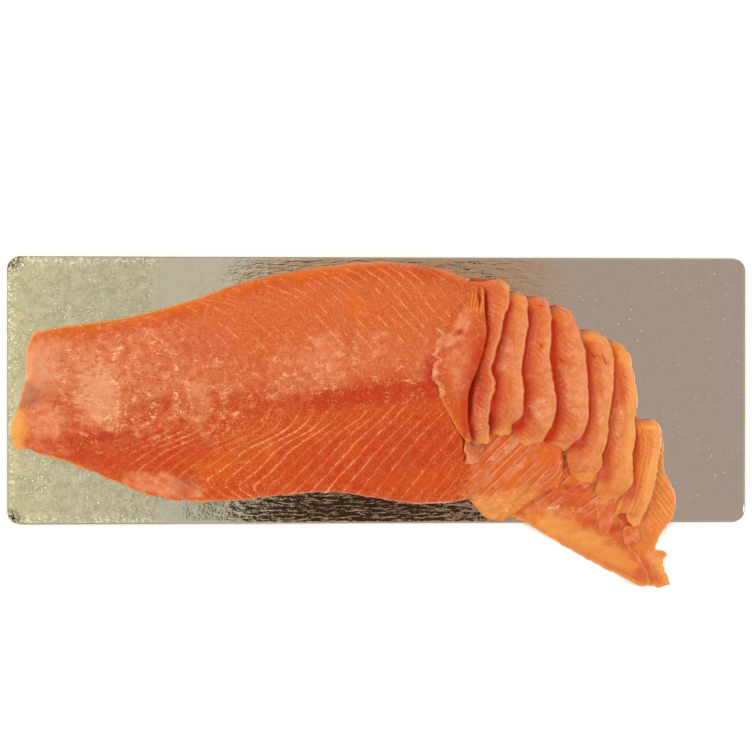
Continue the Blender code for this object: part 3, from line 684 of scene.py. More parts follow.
def two_sided(name, upper, lower, masks):
    """Closed piece of flesh between two grids of points, with the same masks on both faces."""
    shape = upper.shape[:2]
    border, size = ring_of(*shape), shape[0] * shape[1]
    faces = np.concatenate([quads(*shape), size + quads(*shape)[:, ::-1]]).tolist()
    faces += [[border[i - 1], border[i], size + border[i], size + border[i - 1]] for i in range(len(border))]
    filled = {key: np.tile((masks.get(key, 0) + np.zeros(shape)).ravel(), 2) for key in MASKS}
    made = piece(name, np.concatenate([upper.reshape(-1, 3), lower.reshape(-1, 3)]), faces, flesh, filled)
    return made


def normals(lines):
    """Unit normals of lines of (x, z) points, to the left of the way they run."""
    lane = np.gradient(lines, axis=1)
    lane /= np.hypot(lane[..., 0], lane[..., 1])[..., None]
    return np.stack([-lane[..., 1], lane[..., 0]], axis=-1)


def standing(lines, y):
    """Grid of (x, y, z) points from lines of (x, z) points and their y."""
    return np.stack([lines[..., 0], y, lines[..., 1]], axis=-1)


def sheet(name, node, grid, underside, thick, masks, ragged, seed, slope=5.0):
    """Flat slice with thin, slightly torn edges, lying at the height `underside` gives.

    `thick` gives the thickness and `masks` the flesh masks from x, y and the distance to
    the rim; `slope` is how far in from the rim it reaches its full thickness.
    """
    x, y = grid[..., 0], grid[..., 1]
    loose = ragged * (1 - ramp(rim_distance(grid), 0, 5))
    x = x + loose * (grain(x, y, 4.0, seed) + 0.6 * grain(x, y, 1.7, seed + 1))
    y = y + loose * (grain(x, y, 4.0, seed + 2) + 0.6 * grain(x, y, 1.7, seed + 3))
    rim = rim_distance(np.dstack([x, y]))
    bottom = underside(x, y)
    relief = 0.25 * grain(x, y, 7.0, seed + 4) + 0.12 * grain(x, y, 2.6, seed + 5)
    body = THIN_EDGE + (thick(x, y) + relief - THIN_EDGE) * rounded(rim, slope)
    looks = {'sliver': 1 - ramp(rim, 0.5, 3.5), **masks(x, y, rim)}
    made = two_sided(name, np.dstack([x, y, bottom + body]), np.dstack([x, y, bottom]), looks)
    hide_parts(node)


def base_underside(x, y):
    """Height at which the slice end on the board lies."""
    return over_edge(y) + 0 * x


def belly_2_underside(x, y):
    """Height at which the right belly end lies: on the board, then on the slice end there."""
    over_base = (BASE_THICK + 0.2) * ramp(x, 161, 170) * ramp(-y, 86, 94)
    return over_edge(y) + over_base


def belly_1_underside(x, y):
    """Height at which the left belly end lies: up on the uncut side, then down to the right."""
    over_second = (BELLY_THICK + 0.2) * ramp(x + 0.9 * np.maximum(-62 - y, 0), 99, 107)
    over_second *= ramp(-y, 31, 40)
    on_board = FLOOR + SHEET_GAP + over_second
    emerge = ramp(x - 0.42 * y - 76.0, 0.0, 12.0)
    return np.maximum(on_board, side_top(x, y) + 0.2 - 1.2 * (1 - emerge))


def lean_bands(x, y, lean, spacing, seed, wander=0.35):
    """Stripes from 0 to 1 that lean `lean` degrees from the x axis, wander and break up."""
    a = math.radians(lean)
    along = x * math.cos(a) + y * math.sin(a)
    across = y * math.cos(a) - x * math.sin(a)
    across = across + wander * spacing * grain(along / 2.5, across, 1.1 * spacing, seed)
    wave = 0.5 + 0.5 * np.cos(2 * math.pi * across / spacing)
    return wave * (0.55 + 0.45 * grain(along / 3, across, 0.8 * spacing, seed + 1)), across, along


def flakes(x, y, lean, spacing, seed):
    """Muscle flakes lapped like tiles: their height, the pale highlight painted on their lips and the shadow
    painted below these.
    """
    across = lean_bands(x, y, lean, spacing, seed)[1]
    share = (across / spacing) % 1.0
    broken = 0.35 + 0.65 * ramp(grain(x, y, 9.0, seed + 5), -0.5, 0.3)
    lip = ramp(share, 0.6, 0.82) * (1 - ramp(share, 0.86, 0.94))
    under = np.maximum(ramp(share, 0.9, 0.97), 1 - ramp(share, 0.0, 0.1))
    return broken * share * (1 - ramp(share, 0.86, 1.0)), broken * lip, broken * under


# Courses of the bands and flakes: lean in degrees, millimetres from one to the next, the seed
# and, for the slice end on the board, how far they wander.
BASE_BANDS = (-52, 3.1, 41, 0.2)
BELLY_2_BANDS, BELLY_2_FLAKES = (38, 10.5, 51), (38, 5.2, 54)
BELLY_1_BANDS, BELLY_1_FLAKES = (47, 9.5, 61), (47, 4.8, 64)


def base_masks(x, y, rim):
    """Flesh masks of the slice end on the board: amber, with yellow bands to the right."""
    stripes, across, along = lean_bands(x, y, *BASE_BANDS)
    east = ramp(x, 180, 192)
    return {'across': across, 'down': along, 'thin': 0.8, 'amber': 0.55 + 0.2 * grain(x, y, 9, 44),
            'rim': np.maximum.reduce([0.6 * (1 - ramp(rim, 0.5, 4.0)), 0.2 + 0.8 * stripes * east,
                                      blots(x, y, [(192, -121, 8, 9, -60, 0.7), (198, -131, 5, 5, 0, 0.7)])]),
            'fleck': 0.15 + 0.3 * stripes * east,
            'deep': blots(x, y, [(181, -62, 2.5, 26, 0, 0.5), (186, -124, 12, 4, -55, 0.45),
                                 (203, -80, 3, 5, -30, 0.3)]),
            'wet': blots(x, y, [(181, -88, 5, 16, -10, 0.4), (187, -116, 7, 5, -50, 0.8),
                                (192, -117, 6, 3, -40, 0.7)])}


base_grid = patch(
    [(172, -17), (180, -20), (187.5, -24), (192.5, -26)],
    [(172, -126), (181, -131.5), (190, -135), (198.5, -133)],
    [(172, -17), (172, -60), (168, -80), (162, -92), (162, -108), (172, -126)],
    [(192.5, -26), (193.4, -33), (194.8, -57), (200.5, -68), (202.2, -76), (198.5, -90), (193, -97),
     (189, -108), (196.5, -111.5), (194, -117), (196.5, -126), (198.5, -133)],
    spread(60, 0.3), spread(190, 0.2))
sheet('base_slice_end', 'base_slice', base_grid, base_underside,
      lambda x, y: BASE_THICK + 0.2 * lean_bands(x, y, *BASE_BANDS)[0], base_masks, ragged=0.7, seed=43)


def belly_2_masks(x, y, rim):
    """Flesh masks of the right belly end: flaked above, amber and yellow along its skirt."""
    stripes, across, along = lean_bands(x, y, *BELLY_2_BANDS)
    lip, under = flakes(x, y, *BELLY_2_FLAKES)[1:]
    upper = 1 - ramp(-y, 78, 92)
    edge = blots(x, y, [(118, -92, 18, 9, -26, 0.9), (140, -103, 22, 9, -28, 0.9),
                        (160, -113, 16, 7, -30, 0.8)])
    skirt = edge * (0.68 + 0.22 * lean_bands(x, y, 12, 7.0, 57)[0])
    return {'across': across, 'down': along, 'thin': 0.8,
            # Painted highlight: pale on the flake lips.
            'wet': np.maximum.reduce([0.55 * stripes * upper, 0.9 * lip * upper, blots(x, y, [
                (113, -58, 4, 10, -20, 0.8), (155, -70, 12, 9, -30, 0.5), (177, -112, 6, 4, -50, 0.8),
                (121, -82, 18, 4, -12, 0.6)])]),
            # Painted shade: below the flake lips, under the fold ends and round the scraps.
            'deep': np.maximum(0.5 * under * upper, blots(x, y, [
                (131, -67, 10, 3.0, -8, 0.6), (124, -73, 20, 5, -10, 0.3), (180, -121, 10, 4, -55, 0.5),
                (172, -110, 12, 4, -50, 0.4), (160, -94, 10, 3, 20, 0.6), (146, -88, 8, 3, 0, 0.4)])),
            'amber': np.maximum(0.5 * (1 - stripes) * upper, blots(x, y, [
                (109, -87, 8, 3.5, -25, 1.0), (128, -89.5, 9, 3, -4, 1.0), (150, -106, 6, 2.5, -20, 0.7),
                (165, -116, 12, 3.5, -30, 1.0), (144, -97, 14, 2, -10, 0.5)])),
            'rim': np.maximum(0.55 * (1 - ramp(rim, 0.6, 4.0)), skirt),
            'fleck': 0.1 + 0.2 * stripes + 0.1 * edge + blots(x, y, [(122, -79, 16, 6, -10, 0.7)])}


belly_2_grid = patch(
    [(108, -26), (135, -30), (152, -44), (166, -50)],
    [(82, -82), (94.5, -88), (98, -89), (110, -96.5), (127.7, -107), (148, -118.5), (169, -129), (180, -134),
     (186, -131.5)],
    [(108, -26), (106, -50), (101, -66), (93, -76), (82, -82)],
    [(166, -50), (166, -88), (170, -104), (180, -118), (186, -131.5)],
    spread(200, 0.3), spread(130, 0.3))


def belly_2_thick(x, y):
    """Thickness of the right belly end, with its flakes and one dent."""
    bands = 0.3 * lean_bands(x, y, *BELLY_2_BANDS)[0] * (1 - ramp(-y, 72, 88))
    tiles = 0.8 * flakes(x, y, *BELLY_2_FLAKES)[0] * (1 - ramp(-y, 78, 92))
    return BELLY_THICK - 0.5 + bands + tiles - 1.2 * blots(x, y, [(103, -77.5, 2.5, 2, 0, 1.0)])


sheet('belly_slice_end_right', 'belly_slice_2', belly_2_grid, belly_2_underside, belly_2_thick,
      belly_2_masks, ragged=0.5, seed=53)


def belly_1_masks(x, y, rim):
    """Flesh masks of the left belly end: flaked, with a lump of fat at its lower edge."""
    stripes, across, along = lean_bands(x + 3, y, *BELLY_1_BANDS)
    lip, under = flakes(x + 3, y, *BELLY_1_FLAKES)[1:]
    fat_and_highlight = blots(x, y, [(78, -78, 20, 10, 0, 1.0), (94, -74, 12, 9, 30, 0.8)])
    merged = ramp(rim, 0, 3) * ramp(x - 0.42 * y - 76.0, 2.0, 14.0)
    return {'across': across, 'down': along, 'thin': 0.75 * merged,
            # Painted highlights: pale on the flake lips and on the lump of fat.
            'wet': merged * np.maximum.reduce([
                0.55 * stripes * (1 - fat_and_highlight), 0.9 * lip * (1 - fat_and_highlight),
                fat_and_highlight * (0.5 + 0.7 * grain(x, y, 3.4, 66)), blots(x, y, [
                    (85, -41, 17, 3.2, 41, 1.0), (91, -54, 10, 3, 42, 0.9), (72, -60, 7, 5, 50, 0.6)])]),
            # Painted shade: below the flake lips and under the fold ends.
            'deep': np.maximum(0.5 * under * merged * (1 - fat_and_highlight),
                               blots(x, y, [(84, -26, 16, 6, 0, 0.5), (99, -29, 12, 6, 0, 0.5)])),
            'amber': np.maximum(0.7 * (1 - stripes) ** 2 * merged, blots(x, y, [
                (80, -50, 9, 3, 47, 1.0), (98, -36, 12, 3.5, 40, 1.0), (103, -78, 4, 3, 0, 1.0),
                (72, -45, 5, 3, 40, 0.8), (86, -62, 10, 3, 30, 0.6)])),
            'rim': np.maximum(0.35 * (1 - ramp(rim, 0.6, 3.0)) * ramp(-y, 66, 74), 0.6 * fat_and_highlight),
            'fleck': 0.1 + 0.2 * stripes + 0.4 * fat_and_highlight + blots(x, y, [(85, -41, 17, 3.2, 41, 0.5)])}


belly_1_grid = patch(
    [(64, -22), (78, -12), (96, -10), (110, -16), (120, -24)],
    [(50, -69.5), (57, -71.5), (62, -75.5), (67, -81), (72, -86.5), (81.6, -88.3), (88.3, -85.6),
     (103, -74.3), (113.7, -68.9), (121.8, -66.2)],
    [(64, -22), (58, -38), (52, -54), (48, -64), (50, -69.5)],
    [(120, -24), (124, -38), (125, -54), (121.8, -66.2)],
    spread(140, 0.3), spread(120, 0.3))


def belly_1_thick(x, y):
    """Thickness of the left belly end, with its flakes and the lump of fat."""
    lumps = blots(x, y, [(84, -76, 16, 9, 0, 1.0)]) * (grain(x, y, 3.4, 66) + 0.5 * grain(x, y, 1.8, 67))
    return (0.8 + 1.5 * ramp(x, 58, 76) + 0.4 * ramp(-y, 30, 40) * lean_bands(x + 3, y, *BELLY_1_BANDS)[0]
            + 0.8 * ramp(x, 62, 76) * flakes(x + 3, y, *BELLY_1_FLAKES)[0] + 1.1 * lumps)


sheet('belly_slice_end_left', 'belly_slice_1', belly_1_grid, belly_1_underside, belly_1_thick, belly_1_masks,
      ragged=0.5, slope=7.0, seed=63)


# Folded slices -----------------------------------------------------------------------------
# Slices 2.3 mm thick, each folded over to the right like a hairpin and leaning on the next,
# so that every fold's round edge overhangs its neighbour's crease. Shade is painted deep red
# into the creases and under the folds, a pale highlight along the crests and just inside the
# rolled edges, and each fold's yellow is painted lighter towards its rolled edge. The flesh
# turns yellow where a fold ends in fat.
SLICE_THICK, ROLL = 2.3, 2.3
# Half the distance between the closed legs, and the lower leg's height on the board; the
# other two are how much higher it lies on the belly ends, where they are thick or thin.
LEG = (SLICE_THICK + 0.5) / 2
FOOT = FLOOR + LEG + SLICE_THICK / 2
ON_SHEET = BELLY_THICK + SHEET_GAP + GAP
ON_THIN = BELLY_THIN + SHEET_GAP + GAP
# How far the lower leg reaches under the fold beside it, and how far the crests have settled.
TUCK, SETTLED = 7.0, 1.1
# Millimetres from one faint fat line to the next, and how densely painted glints fleck the wet flesh.
LINE_PITCH, GLINT_DENSITY = 3.4, 0.65
LOWER_STEPS, TURN_STEPS, UPPER_STEPS = 12, 16, 44


def hairpin(edge, reach, crest, foot, plump):
    """Centre line of a folded slice: lower leg, round fold, domed upper leg."""
    roll = ROLL * (0.35 + 0.65 * plump)
    bend = roll - SLICE_THICK / 2 * plump
    middle = np.array([edge - roll, crest - roll])
    down = np.array([edge - reach, foot]) - middle
    length = np.hypot(*down)
    down /= length
    normal = np.array([down[1], -down[0]])

    def leg(steps, bow):
        part = np.linspace(1.0, 0.12, steps)
        spacing = (LEG + (bend - LEG) * np.exp(-(part * length / 5.0) ** 2)) * (0.3 + 0.7 * plump)
        spacing = spacing * (0.25 + 0.75 * ramp(1 - part, 0.0, 0.2))
        arch = bow * plump * np.sin(math.pi * part ** 0.55)
        return middle + down * (part * length)[:, None] + normal * arch[:, None], normal * spacing[:, None]

    lower, lower_gap = leg(LOWER_STEPS, 0.9)
    upper, upper_gap = leg(UPPER_STEPS, 3.6)
    turn = np.linspace(0.0, math.pi, TURN_STEPS)[:, None]
    arc = middle + bend * (-np.cos(turn) * normal - np.sin(turn) * down)
    return np.concatenate([lower - lower_gap, arc, (upper + upper_gap)[::-1]])


def folded_slice(name, node, rows, neighbour, looks, seed, pull_back, dents):
    """Folded slice through rows of (y, edge, reach, crest, foot).

    `neighbour` holds the rows of the fold that overhangs it. `looks` holds its wetness, which
    also sets how much pale highlight and how many glints are painted along its crests, and its
    yellowness as its tone, how round its belly end is, how much it is streaked, and lists of
    flesh patches by mask. `pull_back` is how far the upper layer is drawn back from the lower
    one at the two ends, and `dents` are patches (x, y, half length, half width, lean, height).
    """
    # The fold flattens and closes towards both ends, and its belly end dips and rounds off.
    table, beside = np.array(rows, float), np.array(neighbour, float)
    y = table[0, 0] + (table[-1, 0] - table[0, 0]) * spread(200, 0.35)

    def course(rows, column):
        return smooth(list(zip(rows[:, 0], rows[:, column])), y)

    edge, reach, crest, foot = [course(table, column) for column in range(1, 5)]
    to_back, to_belly = table[0, 0] - y, y - table[-1, 0]
    plump = np.minimum(rounded(to_back + 0.8, 6.0), 0.2 + 0.8 * ramp(to_belly, -2, 22))
    closed = np.minimum(rounded(to_back + 0.5, 4.0), rounded(to_belly + 0.2, 3.0))
    edge = edge + 0.7 * grain(y, 0 * y, 7.0, seed) + 0.45 * grain(y, 3 + 0 * y, 2.7, seed)
    edge -= 3.2 * (1 - rounded(to_back + 0.2, 5.0)) + looks.get('round', 2.4) * (1 - rounded(to_belly, 3.0))
    reach = (reach + TUCK) * (0.85 + 0.15 * ramp(to_belly, 0, 8))
    crest = crest - SETTLED + 0.5 * grain(y, 9 + 0 * y, 11.0, seed)
    crest = foot + 0.6 + (crest - foot - 0.6) * (0.1 + 0.9 * plump)
    dive = np.minimum(foot - FLOOR - 1.0, 4.3)
    crest = crest - dive * (1 - ramp(to_belly, 0, 15))
    foot = foot - dive * (1 - ramp(to_belly, 0, 13))
    lines = np.array([hairpin(*values) for values in zip(edge, reach, crest, foot, plump)])
    # Thickness outwards from the hollow, which the lines run round with it on their left, then
    # the upper layer's ragged ends, and its ripples and dents.
    normal, step = -normals(lines), np.arange(lines.shape[1])
    taper = 0.3 + 0.7 * rounded(np.minimum(step, step[::-1]) / 5.0, 1.0)
    half = SLICE_THICK / 2 * taper[None] * (0.2 + 0.8 * closed)[:, None]
    x = lines[..., 0]
    on_top = ramp(step, LOWER_STEPS + 2, LOWER_STEPS + TURN_STEPS - 2)[None] + 0 * x
    way = (step[-1] - step) / (UPPER_STEPS + 4.0)
    bell = np.sin(math.pi * np.clip(way, 0, 1)) ** 0.7
    bell = np.where(step > LOWER_STEPS + TURN_STEPS // 2, bell, 0.0)[None]
    down_y = np.broadcast_to(y[:, None], x.shape)
    down_y = down_y - pull_back[0] * bell * (1 - ramp(to_back, 0, 14))[:, None]
    down_y = down_y + pull_back[1] * bell * (1 - ramp(to_belly, 0, 12))[:, None]
    tip = (1 - ramp(to_belly, 0, 9))[:, None]
    down_y = down_y + tip * (1.9 * grain(x, 0 * x, 4.5, seed + 8) + 0.7 * grain(x, 2 + 0 * x, 1.7, seed + 8))
    ripple = (0.4 * grain(x, down_y * 0.5, 6.0, seed + 1) + 0.3 * grain(x, down_y * 0.22, 2.6, seed + 2)
              + 0.07 * grain(x, down_y, 1.4, seed + 3)) * plump[:, None]
    ripple = ripple + on_top * blots(x, down_y, [dent for dent in dents if dent[5] > 0])
    ripple = ripple - on_top * blots(x, down_y, [(*dent[:5], -dent[5]) for dent in dents if dent[5] < 0])
    # How far in from the fold beside it, and from the slice's own round edge.
    cover = course(beside, 1)
    covered = ramp(y, beside[-1, 0] - 3, beside[-1, 0] + 4)[:, None]
    from_crease, from_edge = x - cover[:, None], edge[:, None] - x
    width = np.maximum((edge - cover)[:, None], 6.0)
    share = from_crease / width
    outer, inner = lines + normal * (half + ripple)[..., None], lines - normal * half[..., None]
    # Where the fold beside it rests on it, the upper face fills the space below that fold.
    if beside[0, 3]:
        touch = course(beside, 3)[:, None] - SETTLED - ROLL
        touch = touch - 0.2 - 0.7 * np.maximum(-from_crease, 0)
        near = on_top * covered * plump[:, None] * ramp(crest - foot, 5, 9)[:, None]
        near = near * np.exp(-(np.maximum(from_crease, 0) / 4.0) ** 2) * ramp(from_crease, -7, -2)
        outer[..., 1] += near * np.clip(touch - outer[..., 1], -2.0, 2.5)
    # Painted shade: deep red in the crease, where the fold beside it overhangs.
    crease_shade = (1 - 0.35 * looks['tone'][1]) * covered * ramp(to_back, 2.0, 12.0)[:, None]
    crease_shade = crease_shade * (1 - ramp(share + 0.05 * grain(x, down_y, 5.0, seed + 4), 0.1, 0.45))
    # Painted highlight: a pale band along the fold's crest.
    crest_band = ramp(share, 0.35, 0.6) * (1 - ramp(share, 0.8, 0.98))
    blotchy = 0.6 + 0.4 * grain(down_y / 2.2, x, 3.6, seed + 5)
    line_way = 0.8 * down_y + 0.75 * x + 1.2 * grain(x, down_y, 9.0, seed + 7)
    stria = np.clip(0.5 + 0.9 * grain(x, down_y, 14.0, seed + 9), 0, 1)
    patches = {key: on_top * blots(x, down_y, spots) for key, spots in looks.items() if key in MASKS}
    wetness_and_sheen, yellow = looks['tone']
    # Painted highlight: a thin pale band just inside the rolled edge.
    rolled_edge = 0.8 * on_top * ramp(from_edge, 0.2, 0.8) * (1 - ramp(from_edge, 1.8, 3.8))
    streaks = 0.5 + 0.5 * np.cos(2.1 * from_edge + 2.6 * grain(down_y / 9, from_edge, 2.2, seed + 7))
    # Painted light: the fold's yellow is lighter towards its rolled edge, where light comes through the thin
    # fold.
    fat_and_highlight = (0.3 + 0.7 * ramp(share, 0.4, 0.95)) * (0.75 + 0.25 * grain(down_y / 3, x, 3.0, seed + 6))
    masks = {
        'sliver': np.maximum((1 - ramp(np.minimum(to_belly - 1.0, to_back), 0.0, 4.0))[:, None],
                             0.9 * (1 - ramp(from_edge, 1.5, 4.5))),
        'across': down_y + 0.35 * x, 'down': x, 'thin': 0.8,
        'line': line_way / LINE_PITCH, 'pitch': LINE_PITCH,
        'show': 0.4 * on_top * ramp(share, 0.15, 0.4) * stria,
        # Painted shade: deep red in the crease, on the lower layer and underside, and on the steep outer side
        # of the roll.
        'deep': np.maximum.reduce([crease_shade, 0.6 * (1 - on_top), 0.2 * (1 - ramp(from_edge, 0.0, 0.9))]),
        # Painted highlight: pale along the crest and just inside the rolled edge.
        'wet': np.maximum(0.85 * wetness_and_sheen * crest_band * blotchy, rolled_edge),
        # Painted glints along the crest.
        'fleck': 0.55 * wetness_and_sheen * crest_band * np.clip(blotchy * 1.6 - 0.6, 0, 1),
        # Yellow fat, painted lighter towards the rolled edge, with pale streaks and pale belly ends.
        'rim': on_top * np.maximum.reduce([yellow * fat_and_highlight, looks.get('streaks', 0) * streaks,
                                           0.45 * (1 - ramp(to_belly, 2.0, 9.0))[:, None] + 0 * x]),
        'amber': 0.6 * on_top * (1 - ramp(to_back, 2.0, 16.0))[:, None] * (1 - crest_band)}
    for key in patches:
        masks[key] = np.clip(np.maximum(masks.get(key, 0), patches[key]), 0, 1)
    masks['fleck'] = GLINT_DENSITY * masks['fleck']
    made = two_sided(name, standing(outer, down_y), standing(inner, down_y), masks)
    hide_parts(node)


# The half-lifted slice's right edge, as (y, x), overhangs the first fold. The folds' rows run
# from the back end to the belly end, and their patches are as in blots().
FLAP_EDGE = [(73, 66.0), (67, 69.3), (53, 68.6), (40, 70), (27, 67.3), (17, 64.7), (2, 59.4), (-10, 58.1),
             (-20, 58.3), (-34, 62.1)]
FOLDS = {
    'slice_1': [
        (75.5, 82.0, 15, 13.5, FOOT), (68, 86.6, 20, 19.5, FOOT), (50, 83.6, 19, 22.0, FOOT),
        (34, 79.6, 18, 22.0, FOOT), (14, 74.3, 16, 21.5, FOOT), (4, 76.0, 20, 21.0, FOOT),
        (-7, 74.3, 19, 20.0, FOOT + 0.5), (-20, 73.0, 12, 18.0, FOOT + 6.5),
        (-35, 73.6, 9, 15.5, FOOT + 6.5)],
    'slice_2': [
        (67.0, 95.0, 16, 12.5, FOOT), (60, 99.1, 21, 18.5, FOOT), (37, 97.8, 25, 21.0, FOOT),
        (14, 94.5, 28, 20.5, FOOT), (-3, 95.8, 28, 19.5, FOOT),
        (-14, 95.8, 24, 18.0, FOOT + ON_THIN), (-24, 92.5, 15, 16.0, FOOT + ON_THIN + 0.4),
        (-29, 87.0, 10, 14.0, FOOT + ON_SHEET)],
    'slice_3': [
        (63.5, 110.0, 13, 12.0, FOOT), (57, 114.0, 21, 17.5, FOOT), (20, 113.4, 27, 20.0, FOOT),
        (7, 115.4, 28, 19.5, FOOT), (-6, 117.4, 29, 18.5, FOOT),
        (-16, 117.0, 25, 18.2, FOOT + ON_THIN), (-29, 113.5, 16, 15.4, FOOT + ON_SHEET),
        (-37, 108.0, 12, 12.0, FOOT + ON_SHEET)],
    'slice_4': [
        (57.5, 122.0, 14, 11.5, FOOT), (53, 127.5, 18, 15.5, FOOT), (40, 133.0, 26, 18.5, FOOT),
        (27, 136.4, 30, 19.0, FOOT), (4, 139.1, 31, 18.5, FOOT), (-13, 139.2, 29, 18.0, FOOT),
        (-26, 137.8, 22, 17.4, FOOT + 1.5), (-35, 135.1, 16, 15.3, FOOT + ON_SHEET),
        (-41, 130.4, 11, 14.0, FOOT + ON_SHEET)],
    'slice_5': [
        (41, 146.0, 14, 11.0, FOOT), (36, 151.5, 18, 15.0, FOOT), (17, 156.9, 24, 17.5, FOOT),
        (-10, 154.9, 21, 16.8, FOOT), (-26, 153.6, 19, 16.0, FOOT),
        (-36, 151.7, 15, 15.5, FOOT + 2), (-45, 150.2, 17, 13.6, FOOT + ON_SHEET),
        (-62, 150.4, 13, 11.4, FOOT + ON_SHEET)],
    'slice_6': [
        (34, 160.5, 10, 10.2, FOOT), (28, 166.0, 16, 13.0, FOOT), (15, 170.3, 20, 14.5, FOOT),
        (-3, 172.3, 22, 15.2, FOOT), (-26, 171.7, 20, 15.5, FOOT),
        (-50, 170.3, 17, 15.5, FOOT + 1.5), (-67, 169.7, 17, 12.8, FOOT + ON_SHEET),
        (-75, 167.0, 14, 11.2, FOOT + ON_SHEET)],
    'slice_7': [
        (-20.0, 189.0, 13, 9.0, FOOT), (-28, 190.0, 20, 11.2, FOOT), (-54, 187.8, 19, 12.0, FOOT),
        (-68, 184.4, 14, 12.0, FOOT), (-78, 181.7, 14, 12.0, FOOT),
        (-93, 174.3, 11, 11.8, FOOT + 1.0)],
}
# Of the fold patches, the deep red ones paint shade into the creases, gaps, tears and holes, the wet ones are
# pale wet flesh with painted highlights and glare, and the narrow yellow rim lines at the right edges near
# the tops paint highlights.
LOOKS = {
    'slice_1': {'tone': (0.45, 0.12), 'rim': [(85, 70, 5, 3, 0, 0.6), (73.6, -31, 3, 5, 0, 0.6)],
                'amber': [(86, 67, 5, 4, 0, 1.0)], 'deep': [(67, 6, 5, 22, 0, 0.6)],
                'wet': [(74, 9, 3.5, 9, 0, 0.4), (69, -22, 5, 12, 0, 0.5)],
                'fleck': [(69, -18, 5, 12, 0, 0.8)]},
    'slice_2': {'tone': (0.8, 0.22), 'rim': [(94, 60, 6, 9, 0, 0.4), (93, 46, 5, 10, 0, 0.25)],
                'amber': [(93, 66, 6, 3, 0, 1.0), (91, -4, 2.5, 9, 0, 0.8)],
                'wet': [(85, 30, 3.5, 9, 20, 0.8), (82, 19, 3, 6, 0, 0.8), (90, 6, 3, 12, 8, 0.7)],
                'fleck': [(85, 30, 4, 10, 20, 1.0), (82, 19, 3.5, 6, 0, 1.0)]},
    'slice_3': {'tone': (0.6, 0.2), 'round': 1.6,
                'rim': [(114, 57, 1.2, 6, 12, 1.0), (114.4, -26, 5, 6, 0, 0.7), (110.6, 29, 0.9, 7, 20, 0.8)],
                'amber': [(107.9, 27, 1.4, 6, 22, 1.0)],
                'deep': [(107, 56.3, 1.7, 0.6, -10, 1.0), (107.6, 27, 0.9, 5, 22, 0.9)],
                'wet': [(108, -13, 8, 7, 30, 1.2), (110, -20, 5, 5, 0, 0.7)],
                'fleck': [(108, -13, 8, 7, 30, 0.9)]},
    'slice_4': {'tone': (0.9, 0.22), 'round': 1.3,
                'rim': [(132, 47, 1.0, 12, 22, 1.0), (132, 30, 3, 14, 10, 0.3)],
                'amber': [(119.8, 48, 5, 4.5, 0, 1.0), (122, 21, 3, 1.2, -50, 0.8)],
                'deep': [(119.5, -6, 4, 22, 0, 0.7), (121.5, 19.5, 3.4, 1.0, -50, 0.8)],
                'wet': [(128, 2, 5, 17, 10, 1.15), (124, -30, 5, 6, 0, 0.5)],
                'fleck': [(127, 0, 6, 17, 10, 1.0)]},
    'slice_5': {'tone': (0.95, 0.55), 'round': 0.6,
                'rim': [(142, -57, 12, 2, 0, 0.6), (143, 36, 10, 4, -10, 0.6), (151, 35, 1.0, 6, 30, 1.0)],
                'amber': [(144, 39, 8, 2.5, 0, 0.8), (142, -59, 11, 2.6, 0, 1.0)],
                'deep': [(142.4, 23.6, 3.6, 0.6, -52, 1.0), (149.6, 20, 4.2, 0.6, -70, 1.0),
                         (141.4, 0, 2.5, 12, 0, 0.8)],
                'wet': [(148, -17, 3.5, 15, 8, 0.8), (140, -48, 9, 5, 0, 0.6)],
                'fleck': [(148, -17, 4, 15, 8, 1.0)]},
    'slice_6': {'tone': (0.6, 0.95), 'streaks': 0.4, 'round': 0.9, 'rim': [(164, 26, 5, 8, 0, 0.7)],
                'amber': [(157.9, 22, 3, 9, 0, 1.0), (168, -70, 6, 4, 0, 0.5)],
                'deep': [(160.6, 0, 3.0, 13, 0, 0.6)],
                'wet': [(159.5, -25, 3, 15, 0, 0.8), (160, -60, 4, 9, 0, 0.6)],
                'fleck': [(159.5, -25, 3.5, 16, 0, 1.0)]},
    'slice_7': {'tone': (0.4, 0.95), 'streaks': 0.65,
                'rim': [(184, -25, 12, 2, 0, 1.0), (181, -55, 1.6, 26, -12, 0.8)],
                'amber': [(172, -60, 2, 14, 0, 1.0), (177, -48, 1.2, 22, -10, 0.9)],
                'deep': [(171.5, -60, 1.6, 14, 0, 0.8)], 'wet': [(178, -80, 4, 8, -12, 0.5)]},
}
PULL_BACK = {'slice_1': (2.5, 0), 'slice_2': (2.0, 0), 'slice_3': (1.5, 0), 'slice_4': (4.0, 0),
             'slice_5': (1.0, 0), 'slice_6': (1.5, 0), 'slice_7': (0, 8.0)}
DENTS = {'slice_1': [(73.5, 12, 4.5, 9, 0, 0.9)], 'slice_2': [(96, 21, 2, 3, 0, 0.9)],
         'slice_3': [(107.7, 27.5, 1.2, 4.6, 22, -1.4), (107, 56.3, 1.4, 0.7, -10, -0.9)],
         'slice_4': [(121.5, 19.5, 4, 1.6, -50, -1.1)],
         'slice_5': [(142.4, 23.6, 3.8, 0.8, -52, -1.0), (149.6, 20, 4.4, 0.8, -70, -1.0)],
         'slice_6': [], 'slice_7': [(177, -48, 1.2, 22, -10, -0.6)]}
FOLD_SEED = 170
beside = [(place, edge, 0, 0, 0) for place, edge in FLAP_EDGE]
for order, (node, rows_of_fold) in enumerate(FOLDS.items()):
    folded_slice('folded_' + node, node, rows_of_fold, beside, LOOKS[node], FOLD_SEED + 10 * order,
                 PULL_BACK[node], DENTS[node])
    beside = rows_of_fold


